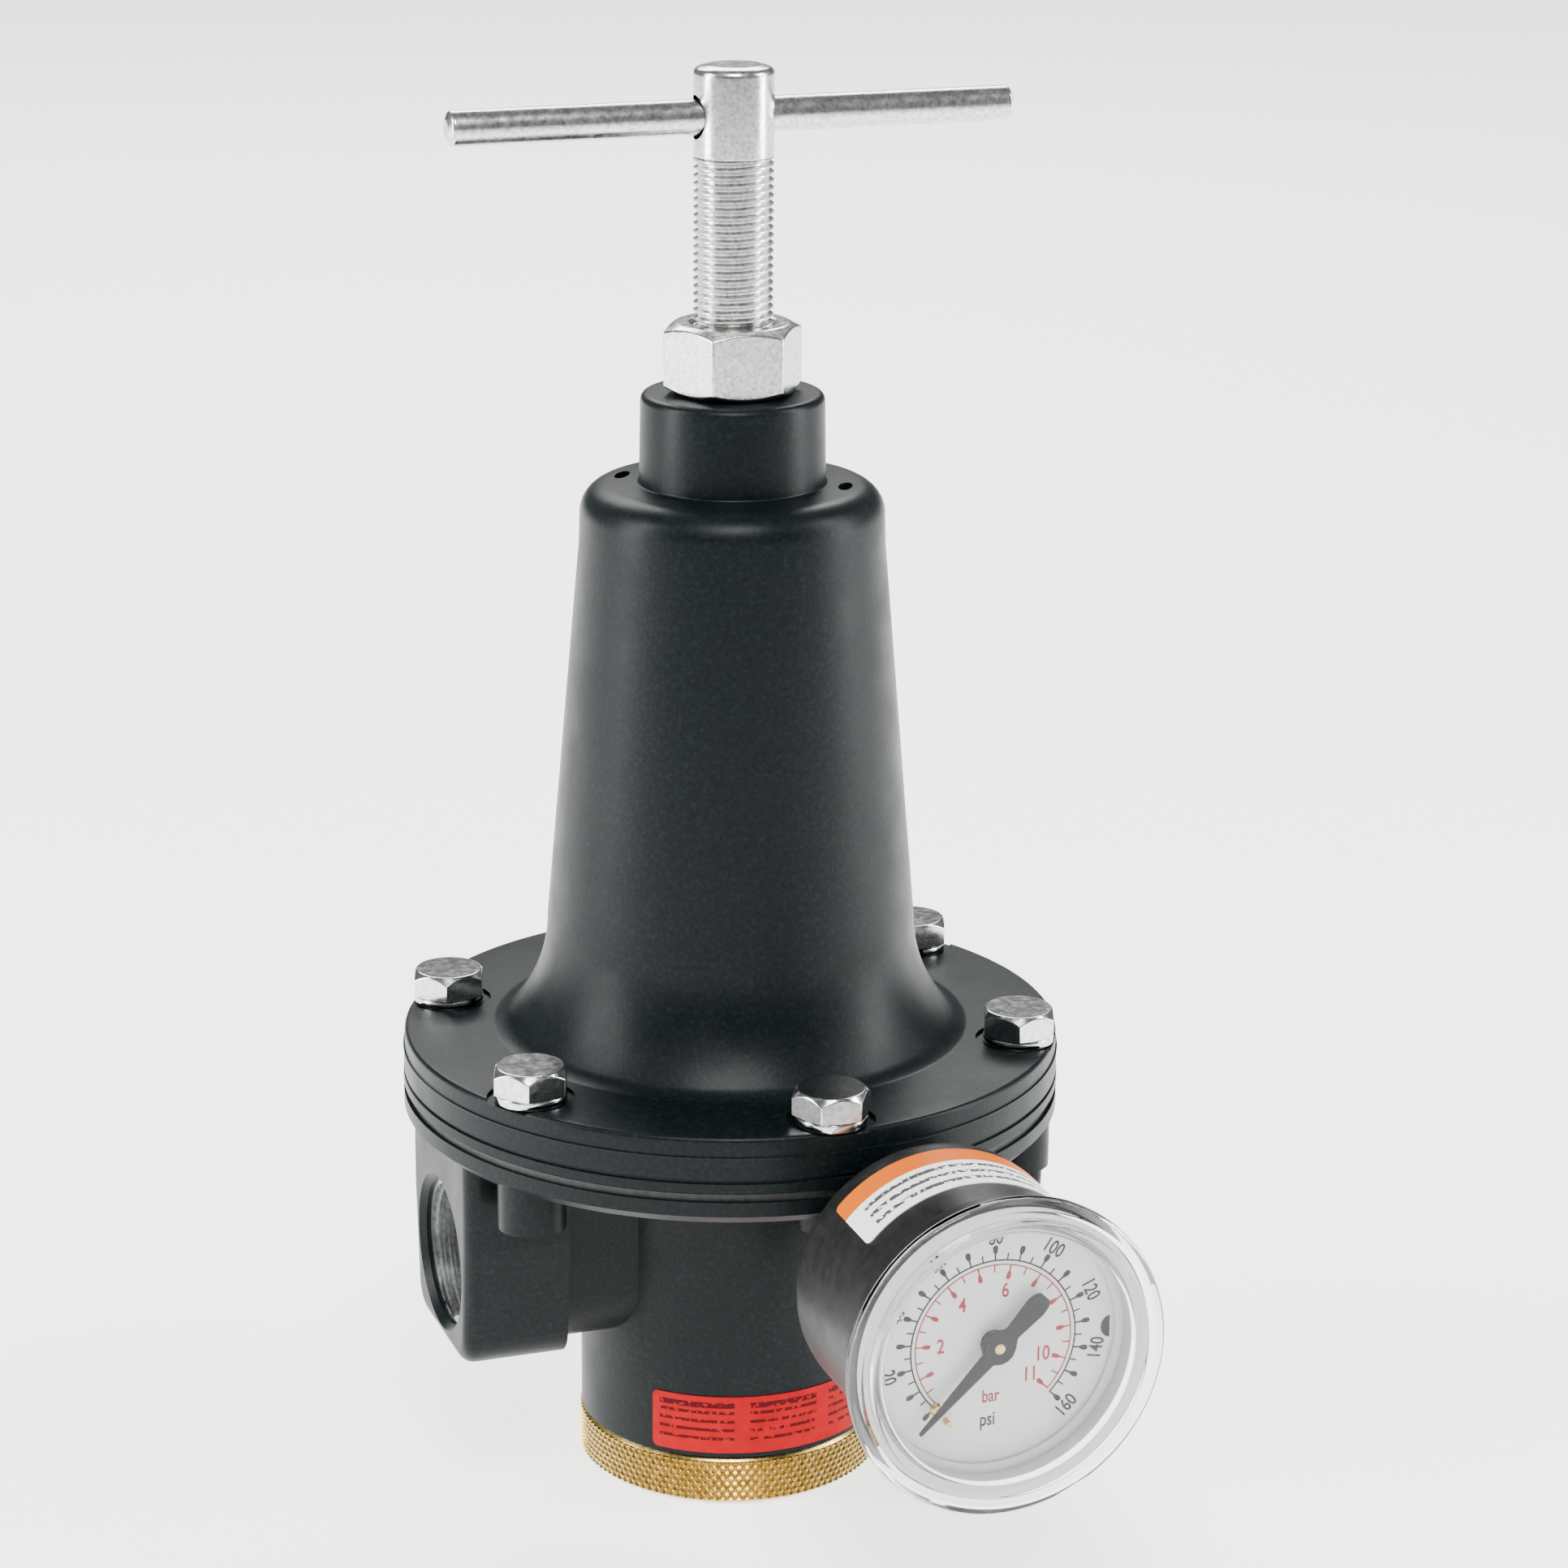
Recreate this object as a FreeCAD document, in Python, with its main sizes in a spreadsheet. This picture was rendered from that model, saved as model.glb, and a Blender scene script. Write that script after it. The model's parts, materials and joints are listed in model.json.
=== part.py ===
"""Air pressure regulator with a tee-handle screw, six-bolt bonnet, brass cap and a dial gauge.

Frame: the origin is the middle of the bottom cap's underside, +Z runs up the adjusting
screw, +X points out of the outlet port and the gauge looks along -Y. Millimetres.
"""

import FreeCAD, Part
import math
import os
import re
import Sketcher

from FreeCAD import Placement, Rotation, Vector

DOC = FreeCAD.newDocument("air_pressure_regulator")
SHEET = DOC.addObject("Spreadsheet::Sheet", "Sizes")

SIZES = {
    # bottom cap
    "cap_height": 9.4, "cap_radius": 28.6, "cap_edge": 0.9, "cap_gap": 0.4,
    "spigot_radius": 21.8, "spigot_top": 20.0, "guide_boss_radius": 7.6, "guide_boss_top": 26.0,
    # body casting
    "body_radius": 28.3, "body_bore": 22.0, "port_height": 47.0, "port_reach": 57.0,
    "port_bore": 13.6, "port_mouth": 14.8, "port_depth": 23.0, "port_block_back": 37.4,
    "port_half_width": 19.0, "port_half_foot": 16.6, "port_foot": 29.5, "port_waist": 16.0,
    "waist_foot": 30.2, "passage_radius": 6.5, "outlet_passage_height": 55.0,
    "inlet_passage_height": 38.3, "flange_foot": 70.5, "bowl_radius": 34.5, "bowl_foot": 63.5,
    "floor_top": 67.0, "pocket_radius": 30.8, "chamber_radius": 44.0, "chamber_foot": 72.0,
    "outlet_chamber_top": 62.5, "valve_chamber": 19.0, "seat_web_foot": 45.5,
    "seat_web_top": 50.0,
    "gauge_pad_radius": 9.5, "gauge_pad_face": 33.0, "gauge_bore": 6.4,
    # diaphragm joint and bonnet
    "diaphragm_foot": 74.8, "diaphragm_thickness": 1.5, "diaphragm_radius": 60.4,
    "flange_radius": 61.2, "flange_top": 86.8, "joint_line": 78.6, "joint_groove": 0.35,
    "flange_edge": 0.8, "flare_foot": 42.4, "flare_radius": 30.0, "flare_top": 108.0,
    "skirt_radius": 34.0, "crown_radius": 27.5, "crown_height": 189.8, "crown_fillet": 11.2,
    "neck_radius": 16.6, "neck_top": 206.2, "neck_taper": 0.25, "bonnet_wall": 3.6,
    "vent_length": 5.0, "vent_width": 2.4, "vent_circle": 20.4,
    # adjusting screw, 9/16-18 UNF
    "screw_radius": 7.144, "screw_fit": 0.06, "thread_foot": 188.0, "head_foot": 248.6,
    "head_radius": 7.2, "screw_top": 264.6,
    "nose_radius": 4.0, "nose_foot": 182.6, "bar_radius": 3.175, "bar_length": 105.0,
    "bar_drop": 9.0, "nut_flats": 22.2, "nut_height": 12.8,
    # range spring stack
    "rest_radius": 20.6, "rest_top": 184.0, "rest_thickness": 5.0, "spring_radius": 16.4,
    "wire_radius": 2.1, "spring_turns": 10.0, "plate_radius": 29.5, "plate_thickness": 2.4,
    "under_plate_radius": 29.0, "under_plate_thickness": 1.8, "hub_radius": 5.0,
    "hub_flange": 8.6, "hub_foot": 70.9, "relief_radius": 1.6, "hub_nut_flats": 14.0,
    "hub_nut_height": 5.0,
    # valve
    "stem_radius": 3.0, "stem_fit": 0.06, "lower_stem": 4.0, "poppet_radius": 11.6,
    "poppet_foot": 39.5, "poppet_top": 42.5, "seal_radius": 11.0, "seal_top": 44.4,
    "seat_foot": 44.5, "seat_radius": 13.4, "seat_bore": 8.8, "valve_wire": 0.8,
    "valve_spring_radius": 9.6, "valve_turns": 5.0,
    # flange screws, 5/16-24
    "bolt_circle": 54.3, "bolt_radius": 3.95, "bolt_hole": 4.3, "bolt_flats": 12.7,
    "bolt_head": 4.8, "bolt_foot": 66.5, "washer_radius": 6.5, "washer_height": 1.9,
    "spot_face": 7.9, "spot_depth": 0.7, "lug_radius": 6.2, "lug_foot": 62.0,
    # pressure gauge; heights along its axis are distances from the regulator's axis
    "gauge_offset": 14.4, "gauge_height": 59.7, "case_radius": 24.9, "case_back": 61.7,
    "case_front": 99.7, "case_wall": 1.5, "case_rounding": 5.0, "lip_radius": 26.6,
    "socket_face": 36.0, "socket_flats": 14.3, "dial_front": 95.1, "dial_thickness": 0.5,
    "dial_radius": 23.4, "lens_radius": 28.9, "lens_back": 99.9, "lens_step": 103.1,
    "lens_front": 104.5, "window_radius": 25.2, "lens_skirt": 23.9, "skirt_back": 96.5,
    "pointer_back": 97.3, "pointer_thickness": 0.6, "pointer_tip": 20.0, "pointer_tail": 11.8,
    "pointer_hub": 3.1, "arbor_radius": 0.9, "arbor_fit": 0.05, "back_plate_back": 73.1,
    "plate_gauge": 1.2, "front_plate_back": 85.1, "gear_centres": 16.4, "gear_back": 78.1,
    "dial_screw_circle": 15.0, "tube_radius": 19.6, "tube_half_width": 1.5,
    "tube_half_height": 3.6, "tube_middle": 78.7,
    # stickers
    "sticker_thickness": 0.2, "body_sticker_foot": 10.7, "body_sticker_height": 11.4,
    "case_sticker_back": 69.1, "case_sticker_length": 16.0,
}

BODY_STICKER = (221.0, 325.0)
CASE_STICKER = (35.0, 139.5)
BOLT_ANGLES = [30.0, 90.0, 150.0, 210.0, 270.0, 330.0]
BOLT_HEAD_TURNS = [11.0, 5.0, 12.0, 10.0, -4.0, 9.0]
LUG_ANGLES = [30.0, 150.0, 210.0, 330.0]
VENT_ANGLES = [150.0, 330.0]
NUT_TURN = -5.0
POINTER_REST = 225.0
PINION_TEETH = 12
SECTOR_RATIO = 6.75
GEAR_MODULE = 2 * 16.25 / (PINION_TEETH * (1 + SECTOR_RATIO))
SECTOR_THICKNESS = 1.0
LINK_ARM = 5.0
LINK_ARM_ANGLE = 70.0
TIP_ANGLE = 215.0
TUBE_SWEEP = 250.0
DIAL_SCREW_ANGLES = (227.0, 47.0)

for row, (cell, number) in enumerate(SIZES.items(), start=1):
    SHEET.set(f"A{row}", cell.replace("_", " "))
    SHEET.set(f"B{row}", str(number))
    SHEET.setAlias(f"B{row}", cell)
DOC.recompute()

NODES = []
QUARTER_TURNS = {
    "Z": Rotation(),
    "X": Rotation(Vector(0, 1, 0), 90),
    "-X": Rotation(Vector(0, 1, 0), -90),
    "-Y": Rotation(Vector(1, 0, 0), 90),
    "Y": Rotation(Vector(1, 0, 0), -90),
}


# ---------------------------------------------------------------- helpers


def linked(expression):
    """The expression with each cell name written the way FreeCAD finds it in the sheet."""
    def cell(word):
        return "Sizes." + word[0] if word[0] in SIZES else word[0]
    return re.sub(r"[a-z][a-z_]*", cell, str(expression))


def value(expression):
    """The number that an expression of cell names comes to."""
    return float(SHEET.evalExpression(linked(expression)))


def bind(thing, path, expression):
    thing.setExpression(path, linked(expression))


def place(thing, at=(0, 0, 0), rotation=None):
    """Put a piece at a point given as three expressions."""
    thing.Placement = Placement(Vector(*[value(part) for part in at]), rotation or Rotation())
    for letter, part in zip("xyz", at):
        if str(part) != "0":
            bind(thing, f"Placement.Base.{letter}", part)
    return thing


def node(name, thing):
    """Name a finished sub-part and keep it for the export."""
    thing.Label = name
    NODES.append(thing)
    return thing


def cylinder(name, radius, height, at=(0, 0, 0), axis="Z"):
    thing = DOC.addObject("Part::Cylinder", name)
    bind(thing, "Radius", radius)
    bind(thing, "Height", height)
    return place(thing, at, QUARTER_TURNS[axis])


def box(name, length, width, height, at):
    thing = DOC.addObject("Part::Box", name)
    bind(thing, "Length", length)
    bind(thing, "Width", width)
    bind(thing, "Height", height)
    return place(thing, at)


def ring(name, radius, section, at=(0, 0, 0)):
    thing = DOC.addObject("Part::Torus", name)
    bind(thing, "Radius1", radius)
    bind(thing, "Radius2", section)
    return place(thing, at)


def hexagon(name, flats, height, at=(0, 0, 0), turn=0.0):
    thing = DOC.addObject("Part::Prism", name)
    thing.Polygon = 6
    bind(thing, "Circumradius", f"({flats}) / sqrt(3)")
    bind(thing, "Height", height)
    return place(thing, at, Rotation(Vector(0, 0, 1), turn))


def fuse(name, *pieces):
    thing = DOC.addObject("Part::MultiFuse", name)
    thing.Shapes = list(pieces)
    thing.Refine = True
    return thing


def common(name, first, second):
    thing = DOC.addObject("Part::MultiCommon", name)
    thing.Shapes = [first, second]
    return thing


def cut(name, base, *tools):
    thing = DOC.addObject("Part::Cut", name)
    thing.Base = base
    thing.Tool = tools[0] if len(tools) == 1 else fuse(name + "_tools", *tools)
    return thing


def group(name, pieces):
    thing = DOC.addObject("Part::Compound", name)
    thing.Links = list(pieces)
    return thing


def outline_sketch(body, name, plane, points):
    """A closed outline in one of the body's origin planes, each corner bound to two expressions."""
    sketch = body.newObject("Sketcher::SketchObject", name)
    origin = [part for part in body.Origin.OriginFeatures if part.Role == plane]
    sketch.AttachmentSupport = [(origin[0], "")]
    sketch.MapMode = "FlatFace"
    corners = [Vector(value(across), value(up), 0) for across, up in points]
    for start, end in zip(corners, corners[1:] + corners[:1]):
        sketch.addGeometry(Part.LineSegment(start, end), False)
    count = len(points)
    for side in range(count):
        sketch.addConstraint(Sketcher.Constraint("Coincident", side, 2, (side + 1) % count, 1))
    for side, corner in enumerate(points):
        for kind, expression in zip(("DistanceX", "DistanceY"), corner):
            datum = Sketcher.Constraint(kind, -1, 1, side, 1, value(expression))
            index = sketch.addConstraint(datum)
            if not re.fullmatch(r"-?[0-9.]+", str(expression)):
                bind(sketch, f"Constraints[{index}]", expression)
    return sketch


def lathe(name, points):
    """A turned piece: its half section, as radius and height, revolved about Z."""
    body = DOC.addObject("PartDesign::Body", name)
    sketch = outline_sketch(body, name + "_section", "XZ_Plane", points)
    turned = body.newObject("PartDesign::Revolution", name + "_turned")
    turned.Profile = sketch
    turned.ReferenceAxis = (sketch, ["V_Axis"])
    turned.Angle = 360.0
    return body


def prism(name, plane, points, start, length):
    """A straight piece: an outline in an origin plane, padded from start along the plane's normal."""
    body = DOC.addObject("PartDesign::Body", name)
    sketch = outline_sketch(body, name + "_outline", plane, points)
    sketch.AttachmentOffset = Placement(Vector(0, 0, value(start)), Rotation())
    if str(start) != "0":
        bind(sketch, "AttachmentOffset.Base.z", start)
    pad = body.newObject("PartDesign::Pad", name + "_pad")
    pad.Profile = sketch
    bind(pad, "Length", length)
    return body


def soften(body, radius, wanted):
    """Round the edges of a body's tip that the test picks out."""
    DOC.recompute()
    base = body.Tip
    edges = [f"Edge{i}" for i, edge in enumerate(base.Shape.Edges, start=1) if wanted(edge)]
    fillet = body.newObject("PartDesign::Fillet", body.Name + f"_round{len(body.Group)}")
    fillet.Base = (base, edges)
    bind(fillet, "Radius", radius)
    return body


def circle_at(radius, height):
    """Test for the round edge of one radius at one height about Z."""
    def wanted(edge):
        curve = edge.Curve
        return (isinstance(curve, Part.Circle) and abs(curve.Radius - value(radius)) < 0.02
                and abs(curve.Center.z - value(height)) < 0.02)
    return wanted


def coil(name, radius, wire, foot, top, turns):
    """A helical compression spring between two heights."""
    helix = DOC.addObject("Part::Helix", name + "_path")
    bind(helix, "Radius", radius)
    bind(helix, "Height", f"{top} - ({foot}) - 2 * {wire}")
    bind(helix, "Pitch", f"({top} - ({foot}) - 2 * {wire}) / {turns}")
    place(helix, (0, 0, f"{foot} + {wire}"))
    section = DOC.addObject("Part::Circle", name + "_wire")
    bind(section, "Radius", wire)
    place(section, (radius, 0, f"{foot} + {wire}"), Rotation(Vector(1, 0, 0), 90))
    spring = DOC.addObject("Part::Sweep", name)
    spring.Sections = [section]
    spring.Spine = (helix, [])
    spring.Solid = True
    spring.Frenet = True
    return spring


def on_gauge(thing, turn=0.0):
    """Stand a piece that is drawn about Z on the gauge's axis, which looks along -Y."""
    spin = Rotation(Vector(0, 0, 1), turn)
    return place(thing, ("gauge_offset", 0, "gauge_height"), QUARTER_TURNS["-Y"].multiply(spin))


def polar(radius, degrees):
    """The two expressions of a point at a radius and an angle."""
    turn = math.radians(degrees)
    return f"({radius}) * {math.cos(turn):.6f}", f"({radius}) * {math.sin(turn):.6f}"


def curved_sticker(name, radius, foot, height, angles):
    """A thin sheet wrapped round a cylinder between two angles."""
    outer = cylinder(name + "_outer", f"({radius}) + sticker_thickness", height, (0, 0, foot))
    inner = cylinder(name + "_inner", radius, height, (0, 0, foot))
    for part in (outer, inner):
        part.Angle = angles[1] - angles[0]
    sheet = cut(name + "_sheet", outer, inner)
    DOC.recompute()
    rounded = DOC.addObject("Part::Fillet", name)
    rounded.Base = sheet
    corners = [
        i for i, edge in enumerate(sheet.Shape.Edges, start=1)
        if abs(edge.Length - value("sticker_thickness")) < 0.01
    ]
    rounded.Edges = [(i, 1.2, 1.2) for i in corners]
    return rounded


# ---------------------------------------------------------------- bottom cap


def bottom_cap():
    turned = lathe("cap_turned", [
        ("0", "0"), ("cap_radius - cap_edge", "0"), ("cap_radius", "cap_edge"),
        ("cap_radius", "cap_height - cap_edge"), ("cap_radius - cap_edge", "cap_height"),
        ("spigot_radius", "cap_height"), ("spigot_radius", "spigot_top - 3.6"),
        ("spigot_radius - 1.9", "spigot_top - 3.6"), ("spigot_radius - 1.9", "spigot_top - 1.0"),
        ("spigot_radius", "spigot_top - 1.0"), ("spigot_radius", "spigot_top"),
        ("spigot_radius - 4", "spigot_top"), ("spigot_radius - 4", "spigot_top - 4"),
        ("guide_boss_radius", "spigot_top - 4"), ("guide_boss_radius", "guide_boss_top"),
        ("lower_stem + stem_fit", "guide_boss_top"),
        ("lower_stem + stem_fit", "guide_boss_top - 1.2"), ("6.0", "guide_boss_top - 1.2"),
        ("6.0", "guide_boss_top - 3.0"), ("lower_stem + stem_fit", "guide_boss_top - 3.0"),
        ("lower_stem + stem_fit", "4.0"), ("0", "4.0"),
    ])
    node("bottom_cap", turned)


# ---------------------------------------------------------------- body casting


def port_block(side):
    """The squarish boss that carries one pipe thread; side is 1 for the outlet, -1 for the inlet."""
    name = "outlet" if side > 0 else "inlet"
    start = "port_block_back" if side > 0 else "-port_reach"
    block = prism(name + "_block", "YZ_Plane", [
        ("port_half_width", "flange_foot + 1"), ("port_half_width", "port_height + 7"),
        ("port_half_foot", "port_foot"), ("-port_half_foot", "port_foot"),
        ("-port_half_width", "port_height + 7"), ("-port_half_width", "flange_foot + 1"),
    ], start, "port_reach - port_block_back")

    def along_foot(edge):
        ends = [vertex.Point for vertex in edge.Vertexes]
        low = all(abs(point.z - value("port_foot")) < 0.01 for point in ends)
        return low and abs(ends[0].x - ends[1].x) > 1

    def round_mouth(edge):
        ends = [vertex.Point for vertex in edge.Vertexes]
        outer = all(abs(abs(point.x) - value("port_reach")) < 0.01 for point in ends)
        return outer and any(point.z < value("flange_foot") for point in ends)

    soften(block, "6.5", along_foot)
    soften(block, "2.8", round_mouth)
    waist = prism(name + "_waist", "YZ_Plane", [
        ("port_waist", "flange_foot - 2"), ("port_waist", "waist_foot"),
        ("-port_waist", "waist_foot"), ("-port_waist", "flange_foot - 2"),
    ], "0" if side > 0 else "-port_block_back - 1", "port_block_back + 1")
    return block, soften(waist, "11.0", lambda edge: all(
        abs(vertex.Point.z - value("waist_foot")) < 0.01 for vertex in edge.Vertexes)
        and abs(edge.Vertexes[0].Point.x - edge.Vertexes[-1].Point.x) > 1)


def port_passages(side):
    """Pipe thread bore with a bevelled mouth, and the offset passage to its own side of the seat."""
    name = "outlet" if side > 0 else "inlet"
    axis = "-X" if side > 0 else "X"
    mouth = f"{side} * port_reach"
    bore = cylinder(name + "_bore", "port_bore", "port_depth", (mouth, 0, "port_height"), axis)
    bevel = DOC.addObject("Part::Cone", name + "_bevel")
    bind(bevel, "Radius1", "port_mouth")
    bind(bevel, "Radius2", "port_bore")
    bind(bevel, "Height", "port_mouth - port_bore")
    place(bevel, (mouth, 0, "port_height"), QUARTER_TURNS[axis])
    inner = f"{side} * (port_reach - port_depth + 1)"
    passage = cylinder(name + "_passage", "passage_radius", "port_reach - port_depth + 1",
                       (inner, 0, name + "_passage_height"), axis)
    return bore, bevel, passage


def body_casting():
    shell = lathe("body_shell", [
        ("0", "cap_height + cap_gap"), ("body_radius", "cap_height + cap_gap"),
        ("body_radius", "bowl_foot - 4"), ("bowl_radius - 3", "bowl_foot"),
        ("bowl_radius", "bowl_foot + 2"), ("bowl_radius", "flange_foot"),
        ("flange_radius - 1.6", "flange_foot"), ("flange_radius", "flange_foot + 1.6"),
        ("flange_radius", "diaphragm_foot"), ("0", "diaphragm_foot"),
    ])
    blocks = [piece for side in (1, -1) for piece in port_block(side)]
    lugs = []
    for number, angle in enumerate(BOLT_ANGLES):
        across, along = polar("bolt_circle", angle)
        foot = "lug_foot" if angle in LUG_ANGLES else "bolt_foot + 0.5"
        lug = cylinder(f"lug{number}", "lug_radius", f"flange_foot - {foot} + 1",
                       (across, along, foot))
        lugs.append(lug)
    pads = [
        cylinder("front_pad", "gauge_pad_radius", "gauge_pad_face",
                 ("gauge_offset", 0, "gauge_height"), "-Y"),
        cylinder("rear_pad", "gauge_pad_radius", "gauge_pad_face",
                 ("gauge_offset", 0, "gauge_height"), "Y"),
    ]
    solid = fuse("body_solid", shell, *blocks, *lugs, *pads)
    hollows = [
        cylinder("diaphragm_chamber", "chamber_radius", "10", (0, 0, "chamber_foot")),
        cylinder("diaphragm_pocket", "pocket_radius", "10", (0, 0, "floor_top")),
        cylinder("outlet_chamber", "valve_chamber", "outlet_chamber_top - seat_web_top",
                 (0, 0, "seat_web_top")),
        cylinder("inlet_chamber", "valve_chamber", "seat_web_foot - 8", (0, 0, "8")),
        cylinder("cap_bore", "body_bore", "spigot_top - 8", (0, 0, "8")),
        cylinder("seat_hole", "seat_radius", "seat_web_top - seat_web_foot + 2",
                 (0, 0, "seat_web_foot - 1")),
        cylinder("stem_hole", "stem_radius + stem_fit", "10", (0, 0, "outlet_chamber_top - 1")),
        cylinder("sensing_hole", "1.2", "10", (13.0, 0, "outlet_chamber_top - 1")),
    ]
    for side in (1, -1):
        hollows += port_passages(side)
    for name, axis in (("front", "-Y"), ("rear", "Y")):
        side = -1 if name == "front" else 1
        hollows.append(cylinder(name + "_tap", "gauge_bore", "gauge_pad_face - 9",
                                ("gauge_offset", f"{side} * 9", "gauge_height"), axis))
    for number, angle in enumerate(BOLT_ANGLES):
        across, along = polar("bolt_circle", angle)
        hollows.append(cylinder(f"tapped{number}", "bolt_radius", "diaphragm_foot - bolt_foot",
                                (across, along, "bolt_foot")))
    node("body", cut("body", solid, *hollows))


# ---------------------------------------------------------------- bonnet


def bonnet():
    """Bell-shaped spring housing with a six-bolt flange and a tapped neck."""
    top = "diaphragm_foot + diaphragm_thickness"
    steps = 7
    flare = []
    for step in range(steps + 1):
        # concave arc from the flange up to the straight skirt
        lift = 1 - step / steps
        drop = f"{lift:.4f} * (flare_top - flange_top)"
        reach = f"skirt_radius + flare_radius - sqrt(flare_radius ^ 2 - ({drop}) ^ 2)"
        flare.append((reach, f"flare_top - {drop}"))
    outside = [
        ("flange_radius", top), ("flange_radius", "joint_line - joint_groove"),
        ("flange_radius - joint_groove", "joint_line"),
        ("flange_radius", "joint_line + joint_groove"), ("flange_radius", "flange_top"),
        *flare, ("crown_radius + 0.3", "crown_height - crown_fillet"),
        ("crown_radius", "crown_height - 0.3"), ("neck_radius + neck_taper", "crown_height"),
        ("neck_radius", "neck_top"),
    ]
    inside = [
        ("screw_radius + screw_fit", "neck_top"),
        ("screw_radius + screw_fit", "crown_height - bonnet_wall"),
        ("crown_radius - bonnet_wall - 3", "crown_height - bonnet_wall"),
        ("crown_radius - bonnet_wall", "crown_height - bonnet_wall - 4"),
        ("skirt_radius - bonnet_wall", "flare_top"), ("flare_foot - 2.4", "flange_top - 3"),
        ("flare_foot - 2.4", top),
    ]
    shell = lathe("bonnet_shell", outside + inside)
    soften(shell, "flange_edge", circle_at("flange_radius", "flange_top"))
    soften(shell, "10.5", circle_at("crown_radius", "crown_height - 0.3"))
    soften(shell, "1.4", circle_at("neck_radius", "neck_top"))
    tools = []
    for number, angle in enumerate(BOLT_ANGLES):
        across, along = polar("bolt_circle", angle)
        tools.append(cylinder(f"clearance{number}", "bolt_hole", "20", (across, along, top)))
        tools.append(cylinder(f"spot{number}", "spot_face", "6",
                              (across, along, "flange_top - spot_depth")))
    for number, angle in enumerate(VENT_ANGLES):
        across, along = polar("vent_circle", angle)
        vent = box(f"vent{number}", "vent_width", "vent_length", "12", (0, 0, 0))
        vent.Placement = Placement(
            Vector(value(across), value(along), value("crown_height - 7")),
            Rotation(Vector(0, 0, 1), angle),
            Vector(0, value("vent_length") / 2, 0),
        )
        tools.append(vent)
    node("bonnet", cut("bonnet", shell, *tools))


# ---------------------------------------------------------------- adjusting screw


def adjusting_screw():
    turned = lathe("screw_turned", [
        ("0", "nose_foot"), ("nose_radius - 1.6", "nose_foot"),
        ("nose_radius", "nose_foot + 1.6"), ("nose_radius", "thread_foot"),
        ("screw_radius - 1.0", "thread_foot"), ("screw_radius", "thread_foot + 1.0"),
        ("screw_radius", "head_foot"), ("head_radius", "head_foot"),
        ("head_radius", "screw_top - 1.1"),
        ("head_radius - 1.1", "screw_top"), ("0", "screw_top"),
    ])
    hole = cylinder("bar_hole", "bar_radius", "4 * head_radius",
                    ("-2 * head_radius", 0, "screw_top - bar_drop"), "X")
    node("adjusting_screw", cut("adjusting_screw", turned, hole))
    bar = lathe("tee_bar", [
        ("0", "-bar_length / 2"), ("bar_radius - 0.8", "-bar_length / 2"),
        ("bar_radius", "-bar_length / 2 + 0.8"), ("bar_radius", "bar_length / 2 - 0.8"),
        ("bar_radius - 0.8", "bar_length / 2"), ("0", "bar_length / 2"),
    ])
    node("tee_bar", place(bar, (0, 0, "screw_top - bar_drop"), QUARTER_TURNS["X"]))


def bevelled_hexagon(name, flats, foot, height, turn, both_ends):
    """A hexagon whose corners are turned off at the top, or at both ends."""
    bar = hexagon(name + "_bar", flats, height, (0, 0, foot), turn)
    fall = "0.3 * (" + flats + ") * 0.28"
    low = [("0", foot), (f"({flats}) * 0.46", foot), (f"({flats}) * 0.60", f"{foot} + {fall}")]
    if not both_ends:
        low = [("0", foot), (f"({flats}) * 0.60", foot)]
    turned = lathe(name + "_turned", low + [
        (f"({flats}) * 0.60", f"{foot} + ({height}) - {fall}"),
        (f"({flats}) * 0.46", f"{foot} + ({height})"), ("0", f"{foot} + ({height})"),
    ])
    return common(name + "_blank", bar, turned)


def lock_nut():
    blank = bevelled_hexagon("nut", "nut_flats", "neck_top", "nut_height", NUT_TURN, True)
    bore = cylinder("nut_bore", "screw_radius + screw_fit", "nut_height", (0, 0, "neck_top"))
    node("lock_nut", cut("lock_nut", blank, bore))


# ---------------------------------------------------------------- spring and diaphragm


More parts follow.
